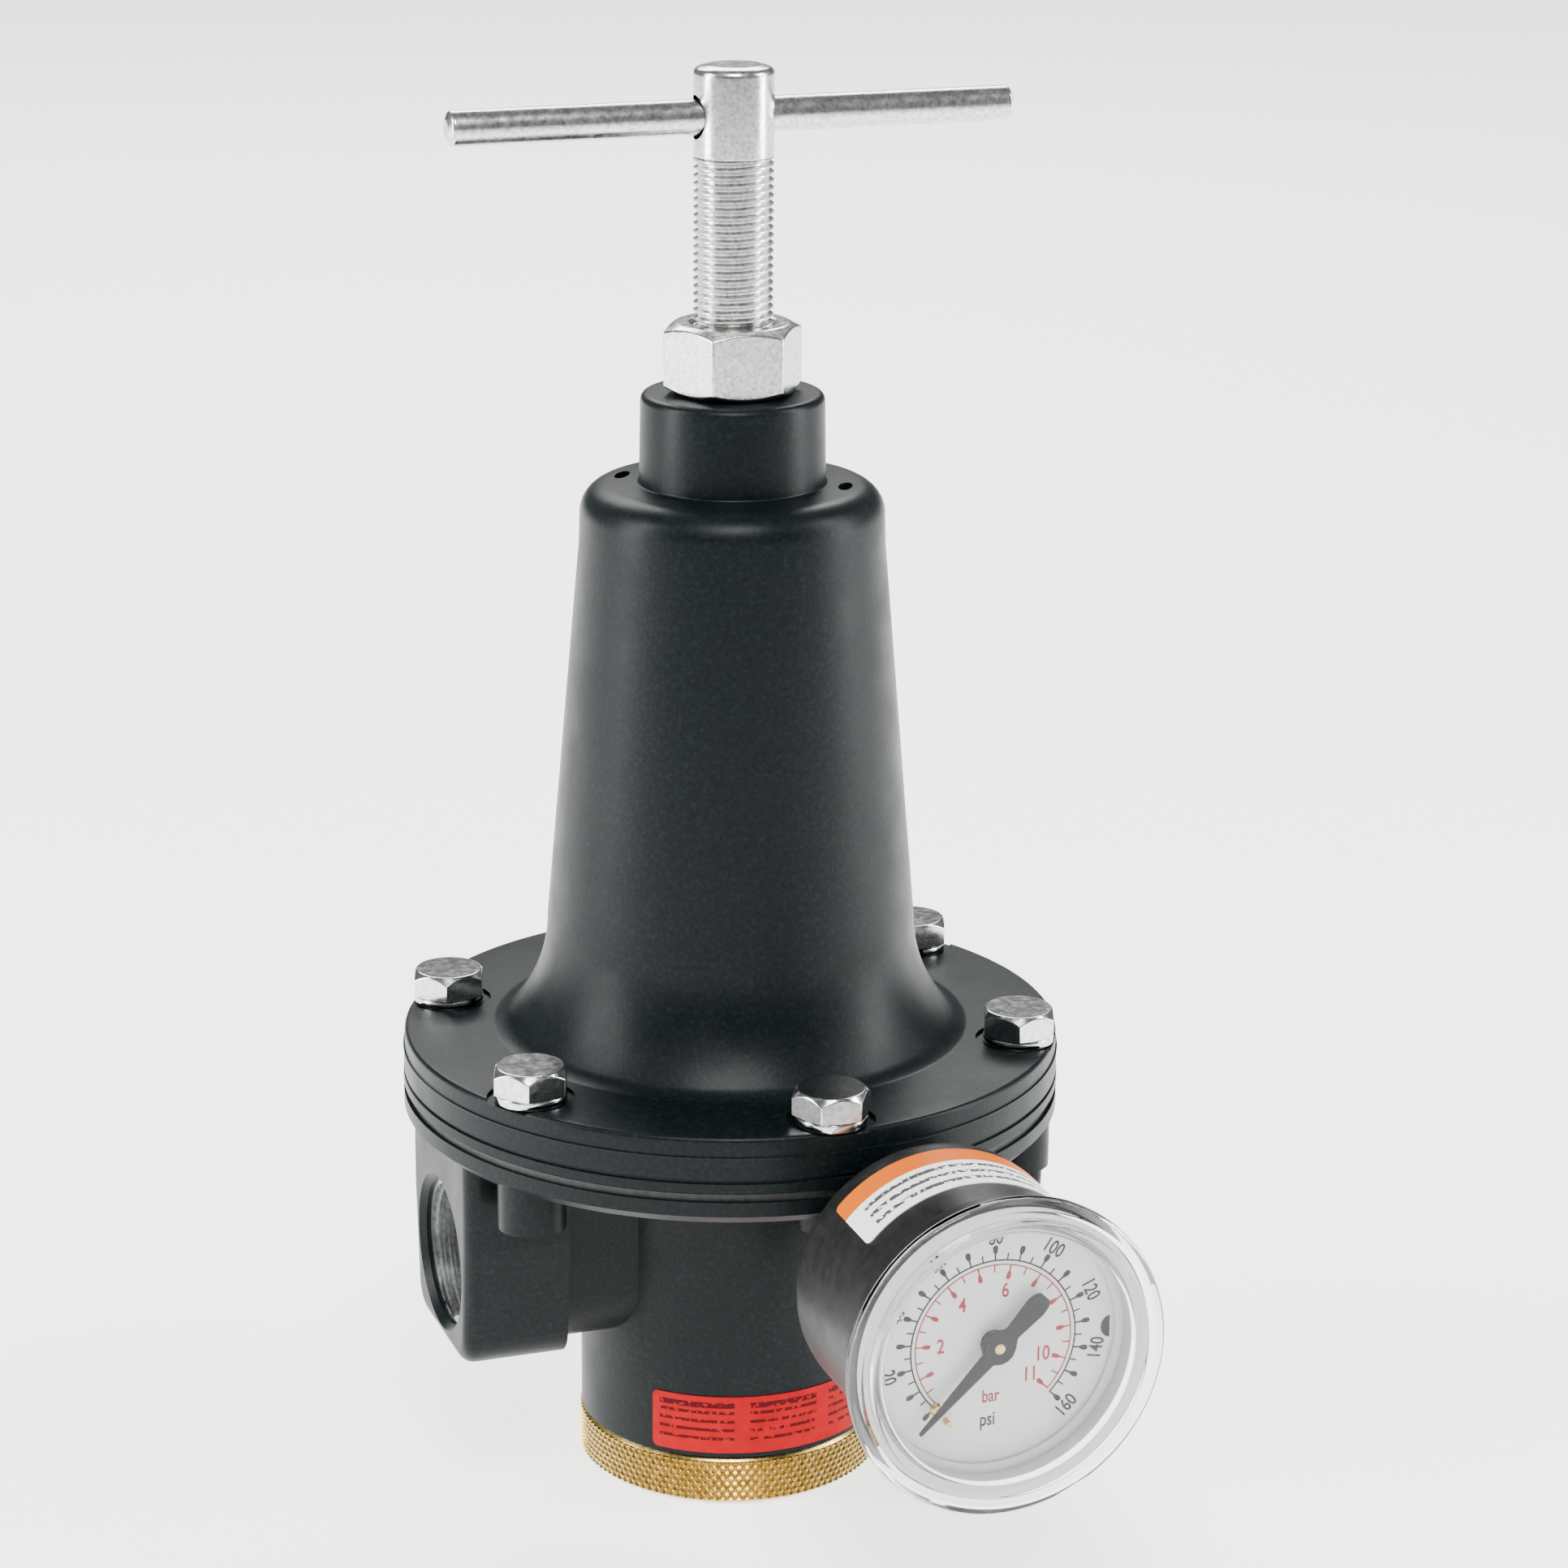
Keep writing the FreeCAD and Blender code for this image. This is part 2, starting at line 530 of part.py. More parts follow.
def spring_stack():
    top = "diaphragm_foot + diaphragm_thickness"
    node("upper_spring_rest", lathe("upper_spring_rest", [
        ("0", "rest_top - rest_thickness"),
        ("spring_radius - wire_radius - 0.6", "rest_top - rest_thickness"),
        ("spring_radius - wire_radius - 0.6", "rest_top - 3"), ("rest_radius", "rest_top - 3"),
        ("rest_radius", "rest_top - 1"), ("rest_radius - 1", "rest_top"),
        ("nose_radius + 0.35", "rest_top"), ("nose_radius + 0.35", "rest_top - 1.4"),
        ("0", "rest_top - 1.4"),
    ]))
    node("main_spring", coil("main_spring", "spring_radius", "wire_radius",
                             f"{top} + plate_thickness", "(rest_top - 3)", "spring_turns"))
    node("diaphragm_top_plate", lathe("diaphragm_top_plate", [
        ("hub_radius", top), ("plate_radius", top), ("plate_radius", f"{top} + plate_thickness"),
        ("plate_radius - 2", f"{top} + plate_thickness"),
        ("spring_radius - wire_radius - 0.6", f"{top} + plate_thickness"),
        ("spring_radius - wire_radius - 1.6", f"{top} + plate_thickness + 2"),
        ("9.6", f"{top} + plate_thickness + 2"), ("9.6", f"{top} + plate_thickness"),
        ("hub_radius", f"{top} + plate_thickness"),
    ]))
    under = "diaphragm_foot - under_plate_thickness"
    node("diaphragm_under_plate", lathe("diaphragm_under_plate", [
        ("hub_radius", under), ("under_plate_radius - 1.2", under),
        ("under_plate_radius", f"{under} + 1.2"), ("under_plate_radius", "diaphragm_foot"),
        ("hub_radius", "diaphragm_foot"),
    ]))
    node("relief_hub", lathe("relief_hub", [
        ("relief_radius", "hub_foot"), ("hub_flange", "hub_foot"), ("hub_flange", under),
        ("hub_radius", under), ("hub_radius", f"{top} + plate_thickness + hub_nut_height + 1"),
        ("relief_radius", f"{top} + plate_thickness + hub_nut_height + 1"),
    ]))
    blank = bevelled_hexagon("hub_nut", "hub_nut_flats", f"({top} + plate_thickness)",
                             "hub_nut_height", 8.0, True)
    bore = cylinder("hub_nut_bore", "hub_radius", "hub_nut_height",
                    (0, 0, f"{top} + plate_thickness"))
    node("hub_nut", cut("hub_nut", blank, bore))


def diaphragm():
    """Rubberised cloth disc clamped at its rim, with a hole for every flange screw."""
    sheet = cylinder("diaphragm_sheet", "diaphragm_radius", "diaphragm_thickness",
                     (0, 0, "diaphragm_foot"))
    holes = [cylinder("hub_hole", "hub_radius", "diaphragm_thickness", (0, 0, "diaphragm_foot"))]
    for number, angle in enumerate(BOLT_ANGLES):
        across, along = polar("bolt_circle", angle)
        holes.append(cylinder(f"punched{number}", "bolt_hole", "diaphragm_thickness",
                              (across, along, "diaphragm_foot")))
    node("diaphragm", cut("diaphragm", sheet, *holes))


# ---------------------------------------------------------------- valve


def valve():
    node("valve_seat_ring", lathe("valve_seat_ring", [
        ("seat_bore", "seat_foot"), ("seat_bore + 0.8", "seat_foot"),
        ("seat_bore + 1.6", "seat_foot + 1"), ("seat_radius", "seat_foot + 1"),
        ("seat_radius", "seat_web_top"), ("seat_bore", "seat_web_top"),
    ]))
    node("valve_poppet", lathe("valve_poppet", [
        ("0", "poppet_foot"), ("poppet_radius", "poppet_foot"), ("poppet_radius", "poppet_top"),
        ("seal_radius", "poppet_top"), ("seal_radius", "poppet_top - 0.8"),
        ("5.0", "poppet_top - 0.8"), ("5.0", "seal_top"), ("stem_radius", "seal_top"),
        ("stem_radius", "poppet_top - 1.5"), ("0", "poppet_top - 1.5"),
    ]))
    node("poppet_seal", lathe("poppet_seal", [
        ("5.0", "poppet_top - 0.8"), ("seal_radius", "poppet_top - 0.8"),
        ("seal_radius", "seal_top"), ("5.0", "seal_top"),
    ]))
    node("valve_stem", lathe("valve_stem", [
        ("0", "poppet_top - 1.5"), ("stem_radius", "poppet_top - 1.5"),
        ("stem_radius", "hub_foot - 1.2"), ("stem_radius - 1.1", "hub_foot - 0.1"),
        ("0", "hub_foot - 0.1"),
    ]))
    node("valve_guide_pin", lathe("valve_guide_pin", [
        ("0", "14"), ("lower_stem - 0.8", "14"), ("lower_stem", "14.8"),
        ("lower_stem", "poppet_foot"), ("0", "poppet_foot"),
    ]))
    node("valve_spring", coil("valve_spring", "valve_spring_radius", "valve_wire",
                              "spigot_top - 4", "poppet_foot", "valve_turns"))
    node("guide_o_ring", ring("guide_o_ring", "5.05", "0.85", (0, 0, "guide_boss_top - 2.1")))
    node("cap_o_ring", ring("cap_o_ring", "spigot_radius - 0.85", "1.04",
                            (0, 0, "spigot_top - 2.3")))


# ---------------------------------------------------------------- flange screws


def flange_screws():
    seat = "flange_top - spot_depth"
    screws = []
    washers = []
    for number, (angle, turn) in enumerate(zip(BOLT_ANGLES, BOLT_HEAD_TURNS)):
        head_foot = f"({seat} + washer_height)"
        head = bevelled_hexagon(f"screw{number}", "bolt_flats", head_foot, "bolt_head", turn, False)
        shank = cylinder(f"shank{number}", "bolt_radius", f"{head_foot} - bolt_foot + 1",
                         (0, 0, "bolt_foot"))
        across, along = polar("bolt_circle", angle)
        screws.append(place(fuse(f"flange_screw{number}", head, shank), (across, along, 0)))
        disc = cylinder(f"washer_disc{number}", "washer_radius", "washer_height", (0, 0, seat))
        hole = cylinder(f"washer_hole{number}", "bolt_radius + 0.2", "washer_height", (0, 0, seat))
        split = box(f"washer_split{number}", "washer_radius + 1", "1.1", "washer_height",
                    (0, "-0.55", seat))
        washer = cut(f"lock_washer{number}", disc, hole, split)
        washers.append(place(washer, (across, along, 0),
                             Rotation(Vector(0, 0, 1), -95.0 + 17.0 * number)))
    node("flange_screws", group("flange_screws", screws))
    node("lock_washers", group("lock_washers", washers))


def port_plug():
    """Socket-headed pipe plug in the rear gauge port."""
    turned = lathe("plug_turned", [
        ("0", "gauge_pad_face - 11"), ("gauge_bore - 0.4", "gauge_pad_face - 11"),
        ("gauge_bore", "gauge_pad_face - 9.5"),
        ("gauge_bore", "gauge_pad_face + 0.6"), ("gauge_bore - 0.6", "gauge_pad_face + 1.2"),
        ("0", "gauge_pad_face + 1.2"),
    ])
    socket = hexagon("plug_socket", "6.35", "5", (0, 0, "gauge_pad_face - 3.6"))
    plug = cut("rear_port_plug", turned, socket)
    place(plug, ("gauge_offset", 0, "gauge_height"), QUARTER_TURNS["Y"])
    node("rear_port_plug", plug)


# ---------------------------------------------------------------- pressure gauge


def gauge_housing():
    thread = cylinder("socket_thread", "gauge_bore", "12", (0, 0, "gauge_pad_face - 11"))
    shank = cylinder("socket_shank", "gauge_bore", "case_back + case_wall - gauge_pad_face",
                     (0, 0, "gauge_pad_face"))
    flats = hexagon("socket_hexagon", "socket_flats", "7.4", (0, 0, "socket_face + 2"))
    block = box("socket_block", "20.5", "16", "back_plate_back - case_back - case_wall",
                (-5, -14.5, "case_back + case_wall"))
    step = box("tube_seat", "5.5", "6", "tube_middle - tube_half_height - back_plate_back",
               (12, -14.5, "back_plate_back"))
    feed = cylinder("socket_feed", "1.5", "47", (0, 0, "gauge_pad_face - 11"))
    solid = fuse("socket_solid", thread, shank, flats, block, step)
    node("gauge_socket", on_gauge(cut("gauge_socket", solid, feed)))
    case = lathe("gauge_case", [
        ("gauge_bore", "case_back"), ("case_radius", "case_back"),
        ("case_radius", "dial_front - 1"), ("lip_radius", "dial_front"),
        ("lip_radius", "case_front"), ("lens_skirt + 0.1", "case_front"),
        ("lens_skirt + 0.1", "dial_front - dial_thickness"),
        ("dial_radius - 1", "dial_front - dial_thickness"), ("dial_radius - 1", "dial_front - 3"),
        ("case_radius - case_wall", "dial_front - 5"),
        ("case_radius - case_wall", "case_back + case_wall + 2"),
        ("case_radius - case_wall - 2", "case_back + case_wall"),
        ("gauge_bore", "case_back + case_wall"),
    ])
    soften(case, "case_rounding", circle_at("case_radius", "case_back"))
    node("gauge_case", on_gauge(case))
    dial = cylinder("dial_disc", "dial_radius", "dial_thickness",
                    (0, 0, "dial_front - dial_thickness"))
    holes = [cylinder("dial_hole", "2.4", "2", (0, 0, "dial_front - 1"))]
    for number, angle in enumerate(DIAL_SCREW_ANGLES):
        across, along = polar("dial_screw_circle", angle)
        holes.append(cylinder(f"dial_hole{number}", "0.8", "2", (across, along, "dial_front - 1")))
    node("gauge_dial", on_gauge(cut("gauge_dial", dial, *holes)))
    node("lens_gasket", on_gauge(lathe("lens_gasket", [
        ("lens_skirt - 1.6", "skirt_back - 0.9"), ("lens_skirt", "skirt_back - 0.9"),
        ("lens_skirt", "skirt_back"), ("lens_skirt - 1.6", "skirt_back"),
    ])))
    node("gauge_lens", on_gauge(lathe("gauge_lens", [
        ("0", "lens_front - 1.8"), ("window_radius - 2.6", "lens_front - 1.8"),
        ("lens_skirt - 1.3", "skirt_back"), ("lens_skirt", "skirt_back"),
        ("lens_skirt", "lens_back"), ("lens_radius - 0.4", "lens_back"),
        ("lens_radius", "lens_back + 0.4"), ("lens_radius", "lens_step - 0.6"),
        ("lens_radius - 0.6", "lens_step"), ("window_radius + 0.3", "lens_step"),
        ("window_radius", "lens_front - 0.4"), ("window_radius - 0.4", "lens_front"),
        ("0", "lens_front"),
    ])))


def dial_screws():
    screws = []
    for number, angle in enumerate(DIAL_SCREW_ANGLES):
        across, along = polar("dial_screw_circle", angle)
        screw = lathe(f"dial_screw{number}", [
            ("0", "front_plate_back + plate_gauge"), ("0.8", "front_plate_back + plate_gauge"),
            ("0.8", "dial_front"), ("1.3", "dial_front"), ("1.3", "dial_front + 0.35"),
            ("0.9", "dial_front + 0.7"), ("0", "dial_front + 0.7"),
        ])
        screws.append(place(screw, (across, along, 0)))
    node("dial_screws", on_gauge(group("dial_screw_pair", screws)))
    across, along = polar("15.8", 237.5)
    post = cylinder("stop_post", "0.55", "1.9", (across, along, "dial_front"))
    node("stop_pin", on_gauge(group("stop_pin_group", [post])))


def pointer():
    """Tapered needle with a round hub and a broad tail, drawn along +X."""
    needle = prism("needle", "XY_Plane", [
        ("pointer_tip", "-0.25"), ("pointer_tip", "0.25"), ("pointer_hub - 0.6", "1.35"),
        ("0", "1.6"), ("-pointer_hub + 1", "1.5"), ("-pointer_tail + 2", "2.2"),
        ("-pointer_tail", "1.5"), ("-pointer_tail", "-1.5"), ("-pointer_tail + 2", "-2.2"),
        ("-pointer_hub + 1", "-1.5"), ("0", "-1.6"), ("pointer_hub - 0.6", "-1.35"),
    ], "pointer_back", "pointer_thickness")
    hub = cylinder("pointer_boss", "pointer_hub", "pointer_thickness + 0.3",
                   (0, 0, "pointer_back"))
    sleeve = cylinder("pointer_sleeve", "1.5", "1.2", (0, 0, "pointer_back - 1.2"))
    bore = cylinder("pointer_bore", "arbor_radius", "3", (0, 0, "pointer_back - 1.5"))
    solid = fuse("pointer_solid", needle, hub, sleeve)
    node("gauge_pointer", on_gauge(cut("gauge_pointer", solid, bore), POINTER_REST))


def tooth_outline(teeth, first, last, phase):
    """Corner points of straight-sided teeth from one tooth number to another, about the origin."""
    pitch_radius = GEAR_MODULE * teeth / 2
    tip = pitch_radius + 0.8 * GEAR_MODULE
    root = pitch_radius - 1.15 * GEAR_MODULE
    step = 2 * math.pi / teeth
    points = []
    for number in range(first, last + 1):
        middle = phase + number * step
        for share, radius in ((-0.5, root), (-0.28, root), (-0.2, pitch_radius), (-0.1, tip),
                              (0.1, tip), (0.2, pitch_radius), (0.28, root)):
            turn = middle + share * step
            points.append(Vector(radius * math.cos(turn), radius * math.sin(turn), 0))
    return points


def plate(points, height):
    """A flat piece: a closed outline of points with a thickness."""
    wire = Part.makePolygon(points + points[:1])
    return Part.Face(wire).extrude(Vector(0, 0, height))


def feature(name, shape):
    """A sub-part whose shape is worked out here, standing on the gauge's axis."""
    thing = DOC.addObject("Part::Feature", name)
    thing.Shape = shape
    node(name, on_gauge(thing))


def turned_face(corners, degrees, middle):
    """A flat face standing in the plane through the axis at an angle, ready to be revolved."""
    points = [on_circle(across, degrees) + Vector(0, 0, middle + up) for across, up in corners]
    return Part.Face(Part.makePolygon(points + points[:1]))


def on_circle(radius, degrees):
    turn = math.radians(degrees)
    return Vector(radius * math.cos(turn), radius * math.sin(turn), 0)


def movement_plates():
    """Two brass plates on four pillars; the front one has an arm that carries the dial."""
    for name, level in (("movement_back_plate", "back_plate_back"),
                        ("movement_front_plate", "front_plate_back")):
        slab = box(name + "_slab", "17", "22", "plate_gauge", (-8.5, -19, level))
        if name == "movement_front_plate":
            wings = []
            for number, angle in enumerate(DIAL_SCREW_ANGLES):
                across, along = polar("dial_screw_circle", angle)
                wings.append(cylinder(f"wing{number}", "1.8", "plate_gauge",
                                      (across, along, level)))
            arm = box("dial_arm", "2 * dial_screw_circle", "3.0", "plate_gauge", (0, 0, 0))
            lie = Rotation(Vector(0, 0, 1), DIAL_SCREW_ANGLES[1])
            corner = lie.multVec(Vector(-value("dial_screw_circle"), -1.5, 0))
            arm.Placement = Placement(corner + Vector(0, 0, value(level)), lie)
            slab = fuse(name + "_winged", slab, arm, *wings)
        holes = [
            cylinder(name + "_arbor_hole", "arbor_radius + arbor_fit", "plate_gauge",
                     (0, 0, level)),
            cylinder(name + "_pivot_hole", "arbor_radius + arbor_fit", "plate_gauge",
                     (0, "-gear_centres", level)),
        ]
        node(name, on_gauge(cut(name, slab, *holes)))
    posts = []
    for number, (across, along) in enumerate(((-6.8, 1.3), (6.8, 1.3), (-6.8, -17.3),
                                              (6.8, -17.3))):
        posts.append(cylinder(f"pillar{number}", "1.3",
                              "front_plate_back - back_plate_back - plate_gauge",
                              (across, along, "back_plate_back + plate_gauge")))
    node("movement_pillars", on_gauge(group("pillar_set", posts)))


def movement_gears():
    """Pinion arbor and toothed sector, in mesh with a tooth of the pinion in a gap of the sector."""
    back = value("back_plate_back")
    shaft_radius = value("arbor_radius")
    gear_back = value("gear_back")
    pivot = Vector(0, -value("gear_centres"), 0)
    pinion = plate(tooth_outline(PINION_TEETH, 0, PINION_TEETH - 1, math.radians(-90)), 2.6)
    pinion.translate(Vector(0, 0, gear_back - 0.8))
    length = value("pointer_back + pointer_thickness + 0.3") - back
    shaft = Part.makeCylinder(shaft_radius, length, Vector(0, 0, back))
    feature("pointer_arbor", shaft.fuse(pinion).removeSplitter())

    teeth = round(PINION_TEETH * SECTOR_RATIO)
    first_gap = math.radians(90) + math.pi / teeth
    rim = [on_circle(3.4, turn) for turn in (150, 195, 240, 285, 330)]
    sector = plate(tooth_outline(teeth, -11, 1, first_gap) + rim, SECTOR_THICKNESS)
    link_pin = on_circle(LINK_ARM, LINK_ARM_ANGLE)
    pin = Part.makeCylinder(0.5, SECTOR_THICKNESS + 1.3, link_pin)
    sector = sector.fuse(pin)
    sector.translate(pivot + Vector(0, 0, gear_back))
    length = value("front_plate_back + plate_gauge") - back
    spindle = Part.makeCylinder(shaft_radius, length, pivot + Vector(0, 0, back))
    feature("sector_gear", sector.fuse(spindle).removeSplitter())


def link_and_tip():
    """Closed end of the tube with its ear, and the rod from the ear to the sector's pin."""
    level = value("gear_back") + SECTOR_THICKNESS + 0.2
    middle = value("tube_middle")
    radius = value("tube_radius")
    arm_end = Vector(0, -value("gear_centres"), 0) + on_circle(LINK_ARM, LINK_ARM_ANGLE)
    ear = on_circle(radius - 3.8, TIP_ANGLE + 4)
    inner, outer = radius - 2.2, radius + 2.2
    corners = [(inner, -4.0), (outer, -4.0), (outer, 4.0), (inner, 4.0)]
    face = turned_face(corners, TIP_ANGLE, middle)
    block = face.revolve(Vector(0, 0, 0), Vector(0, 0, 1), 8)
    web = Part.makeBox(5.0, 2.4, 1.0, Vector(-1.2, -1.2, 0))
    web.rotate(Vector(0, 0, 0), Vector(0, 0, 1), TIP_ANGLE + 4)
    web.translate(ear + Vector(0, 0, level - 1.2))
    pin = Part.makeCylinder(0.5, 2.3, ear + Vector(0, 0, level - 1.2))
    feature("tube_tip", block.fuse([web, pin]).removeSplitter())

    reach = arm_end - ear
    lift = Vector(0, 0, level)
    bar = Part.makeBox(reach.Length, 1.2, 0.6, Vector(0, -0.6, 0))
    bar.rotate(Vector(0, 0, 0), Vector(0, 0, 1), math.degrees(math.atan2(reach.y, reach.x)))
    bar.translate(ear + lift)
    eyes = [Part.makeCylinder(1.1, 0.6, end + lift) for end in (ear, arm_end)]
    holes = [Part.makeCylinder(0.58, 0.6, end + lift) for end in (ear, arm_end)]
    feature("link_rod", bar.fuse(eyes).removeSplitter().cut(holes))


def hairspring():
    """Flat spiral of half turns about the arbor, each half turn a little wider than the last."""
    thickness = 0.16
    growth = 0.42
    first = value("arbor_radius") + 0.6
    level = value("back_plate_back + plate_gauge") + 1.0
    halves = []
    for number in range(9):
        radius = first + number * growth
        centre = Vector(growth / 2 if number % 2 else -growth / 2, 0, level)
        arcs = []
        for edge_radius in (radius - thickness / 2, radius + thickness / 2):
            start = 180 if number % 2 else 0
            ends = [centre + on_circle(edge_radius, start + turn) for turn in (0, 90, 180)]
            arcs.append((Part.Arc(*ends).toShape(), ends))
        (inner, near), (outer, far) = arcs
        steps = [Part.makeLine(near[2], far[2]), Part.makeLine(far[0], near[0])]
        wire = Part.Wire(Part.__sortEdges__([inner, steps[0], outer, steps[1]]))
        halves.append(Part.Face(wire).extrude(Vector(0, 0, 0.7)))
    feature("hairspring", halves[0].fuse(halves[1:]).removeSplitter())


def bourdon_tube():
    """Flattened C-shaped tube from the socket round to its closed tip."""
    wide = value("tube_half_width")
    tall = value("tube_half_height")
    radius = value("tube_radius")
    corners = [(radius, -tall), (radius + wide, wide - tall), (radius + wide, tall - wide),
               (radius, tall), (radius - wide, tall - wide), (radius - wide, wide - tall)]
    face = turned_face(corners, TIP_ANGLE - TUBE_SWEEP, value("tube_middle"))
    feature("bourdon_tube", face.revolve(Vector(0, 0, 0), Vector(0, 0, 1), TUBE_SWEEP))


def gauge():
    gauge_housing()
    dial_screws()
    pointer()
    movement_plates()
    movement_gears()
    link_and_tip()
    hairspring()
    bourdon_tube()


# ---------------------------------------------------------------- stickers


def stickers():
    label = curved_sticker("body_sticker", "body_radius", "body_sticker_foot",
                           "body_sticker_height", BODY_STICKER)
    label.Placement = Placement(Vector(), Rotation(Vector(0, 0, 1), BODY_STICKER[0]))
    node("body_sticker", label)
    band = curved_sticker("case_sticker", "case_radius", "case_sticker_back",
                          "case_sticker_length", CASE_STICKER)
    node("case_sticker", on_gauge(band, CASE_STICKER[0]))


# ---------------------------------------------------------------- build and export


def export():
    DOC.recompute()
    for thing in DOC.Objects:
        bad = [state for state in thing.State if state in ("Invalid", "Error")]
        if bad:
            raise RuntimeError(f"{thing.Name} did not build: {thing.State}")
    os.makedirs("parts", exist_ok=True)
    for thing in NODES:
        shape = thing.Shape
        if shape.isNull() or not shape.isValid() or not shape.Solids:
            raise RuntimeError(f"{thing.Label} has no valid solid")
        shape.exportStep(f"parts/{thing.Label}.step")
        print(f"{thing.Label}: {len(shape.Solids)} solid(s), {shape.Volume / 1000:.2f} cm3")


bottom_cap()
body_casting()
bonnet()
adjusting_screw()
lock_nut()
spring_stack()
diaphragm()
valve()
flange_screws()
port_plug()
gauge()
stickers()
export()
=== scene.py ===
"""Looks of an air pressure regulator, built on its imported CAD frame.

Frame: +Z runs up the adjusting screw, +X points out of the outlet port and the gauge looks
along -Y. Outlines are given in millimetres and become metres when a mesh is made.
"""

import json
import math

import bmesh
import bpy
from mathutils import Matrix, Vector


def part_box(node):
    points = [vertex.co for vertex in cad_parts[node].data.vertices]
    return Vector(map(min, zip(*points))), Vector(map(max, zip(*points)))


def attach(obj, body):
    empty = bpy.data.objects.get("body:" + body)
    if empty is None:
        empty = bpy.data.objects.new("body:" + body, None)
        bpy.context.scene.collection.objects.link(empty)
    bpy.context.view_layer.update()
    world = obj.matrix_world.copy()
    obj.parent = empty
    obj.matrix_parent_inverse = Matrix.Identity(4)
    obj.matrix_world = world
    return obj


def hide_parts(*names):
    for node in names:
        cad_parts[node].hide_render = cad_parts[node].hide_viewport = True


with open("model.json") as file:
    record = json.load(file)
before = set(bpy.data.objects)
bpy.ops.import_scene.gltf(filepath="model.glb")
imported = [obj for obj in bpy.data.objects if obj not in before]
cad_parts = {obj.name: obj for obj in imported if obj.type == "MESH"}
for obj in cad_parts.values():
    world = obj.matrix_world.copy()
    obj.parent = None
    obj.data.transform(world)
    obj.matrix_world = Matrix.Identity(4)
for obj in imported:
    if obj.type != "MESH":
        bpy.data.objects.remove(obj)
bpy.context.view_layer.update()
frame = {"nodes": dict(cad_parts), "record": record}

MM = 0.001
NODES = frame["nodes"]


def box_mm(node):
    """Lowest and highest corner of a CAD node, in millimetres."""
    low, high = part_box(node)
    return Vector(low) / MM, Vector(high) / MM


# ---------------------------------------------------------------- sizes read from the frame

BONNET_LOW, BONNET_HIGH = box_mm("bonnet")
SCREW_LOW, SCREW_HIGH = box_mm("adjusting_screw")
BAR_LOW, BAR_HIGH = box_mm("tee_bar")
NUT_LOW, NUT_HIGH = box_mm("lock_nut")
BOLTS_LOW, BOLTS_HIGH = box_mm("flange_screws")
WASHER_LOW, WASHER_HIGH = box_mm("lock_washers")
CASE_LOW, CASE_HIGH = box_mm("gauge_case")
LENS_LOW, LENS_HIGH = box_mm("gauge_lens")

CAP_RADIUS = box_mm("bottom_cap")[1].x
FLANGE_RADIUS = BONNET_HIGH.x
NECK_TOP = BONNET_HIGH.z
BAR_HEIGHT = (BAR_LOW.z + BAR_HIGH.z) / 2
BAR_RADIUS = (BAR_HIGH.z - BAR_LOW.z) / 2
WASHER_SEAT = WASHER_LOW.z
GAUGE_X = (LENS_LOW.x + LENS_HIGH.x) / 2
GAUGE_Z = (LENS_LOW.z + LENS_HIGH.z) / 2
CASE_BACK = -CASE_HIGH.y
CASE_FRONT = -CASE_LOW.y
DIAL_FRONT = -box_mm("gauge_dial")[0].y
POINTER_FRONT = -box_mm("gauge_pointer")[0].y
STICKER_BACK = -box_mm("case_sticker")[1].y
LENS_BACK = -LENS_HIGH.y
LENS_FRONT = -LENS_LOW.y
LENS_RADIUS = (LENS_HIGH.x - LENS_LOW.x) / 2

# ---------------------------------------------------------------- sizes of its own, in millimetres

INCH = 25.4
CAP_RIM_TOP = 9.4
CAP_TOP = 20.0
CAP_BOSS_TOP = 26.0
KNURL_DEPTH = 0.5
KNURL_ROWS = 7
KNURLS_AROUND = 120
FLANGE_TOP = 86.8
PARTING_LINE = 78.6
LIP_LINE = 83.1
CROWN_TOP = 189.8
CROWN_RADIUS = 27.5
BOLT_CIRCLE = 54.3
BOLT_ANGLES = (30, 90, 150, 210, 270, 330)
BOLT_TURNS = (11, 5, 12, 10, -4, 9)
BOLT_FLATS = 12.7
BOLT_RADIUS = 3.95
SPOT_FACE_RADIUS = 7.9
VENT_ANGLES = (147.0, 331.0)
VENT_CIRCLE = 20.6
NUT_FLATS = 22.2
NUT_TURN = -5
SCREW_PITCH = INCH / 18
SCREW_THREAD_FOOT = 188.6
SCREW_HEAD_FOOT = 248.6
PIPE_PITCH = INCH / 14
PORT_HEIGHT = 47.0
PORT_REACH = 57.0
PORT_RADIUS = 13.6
CASE_RADIUS = 24.9
CASE_BORE = 24.0
NEEDLE_HUB = 3.1
SCALE_START = 225.0
SCALE_SWEEP = 270.0
PRINT_HEIGHT = 0.04
DIAL_SCREW_CIRCLE = 15.0

# the camera: its place in metres and its angles in degrees
VIEW_FROM = (-0.2493, -0.7160, 0.3680)
VIEW_TURN = 19.2
VIEW_TILT = 17.325
VIEW_ROLL = 0.235

# the gauge's own axes: z forward out of the dial, x to the right and y up
UPRIGHT = Matrix.Rotation(math.pi / 2, 4, "X")
ON_GAUGE = Matrix.Translation((GAUGE_X * MM, 0, GAUGE_Z * MM)) @ UPRIGHT
ALONG_X = Matrix.Rotation(math.pi / 2, 4, "Y")


# ---------------------------------------------------------------- mesh helpers


def turn_point(radius, degrees, up=0.0):
    """A point at a radius, an angle and a height."""
    angle = math.radians(degrees)
    return Vector((radius * math.cos(angle), radius * math.sin(angle), up))


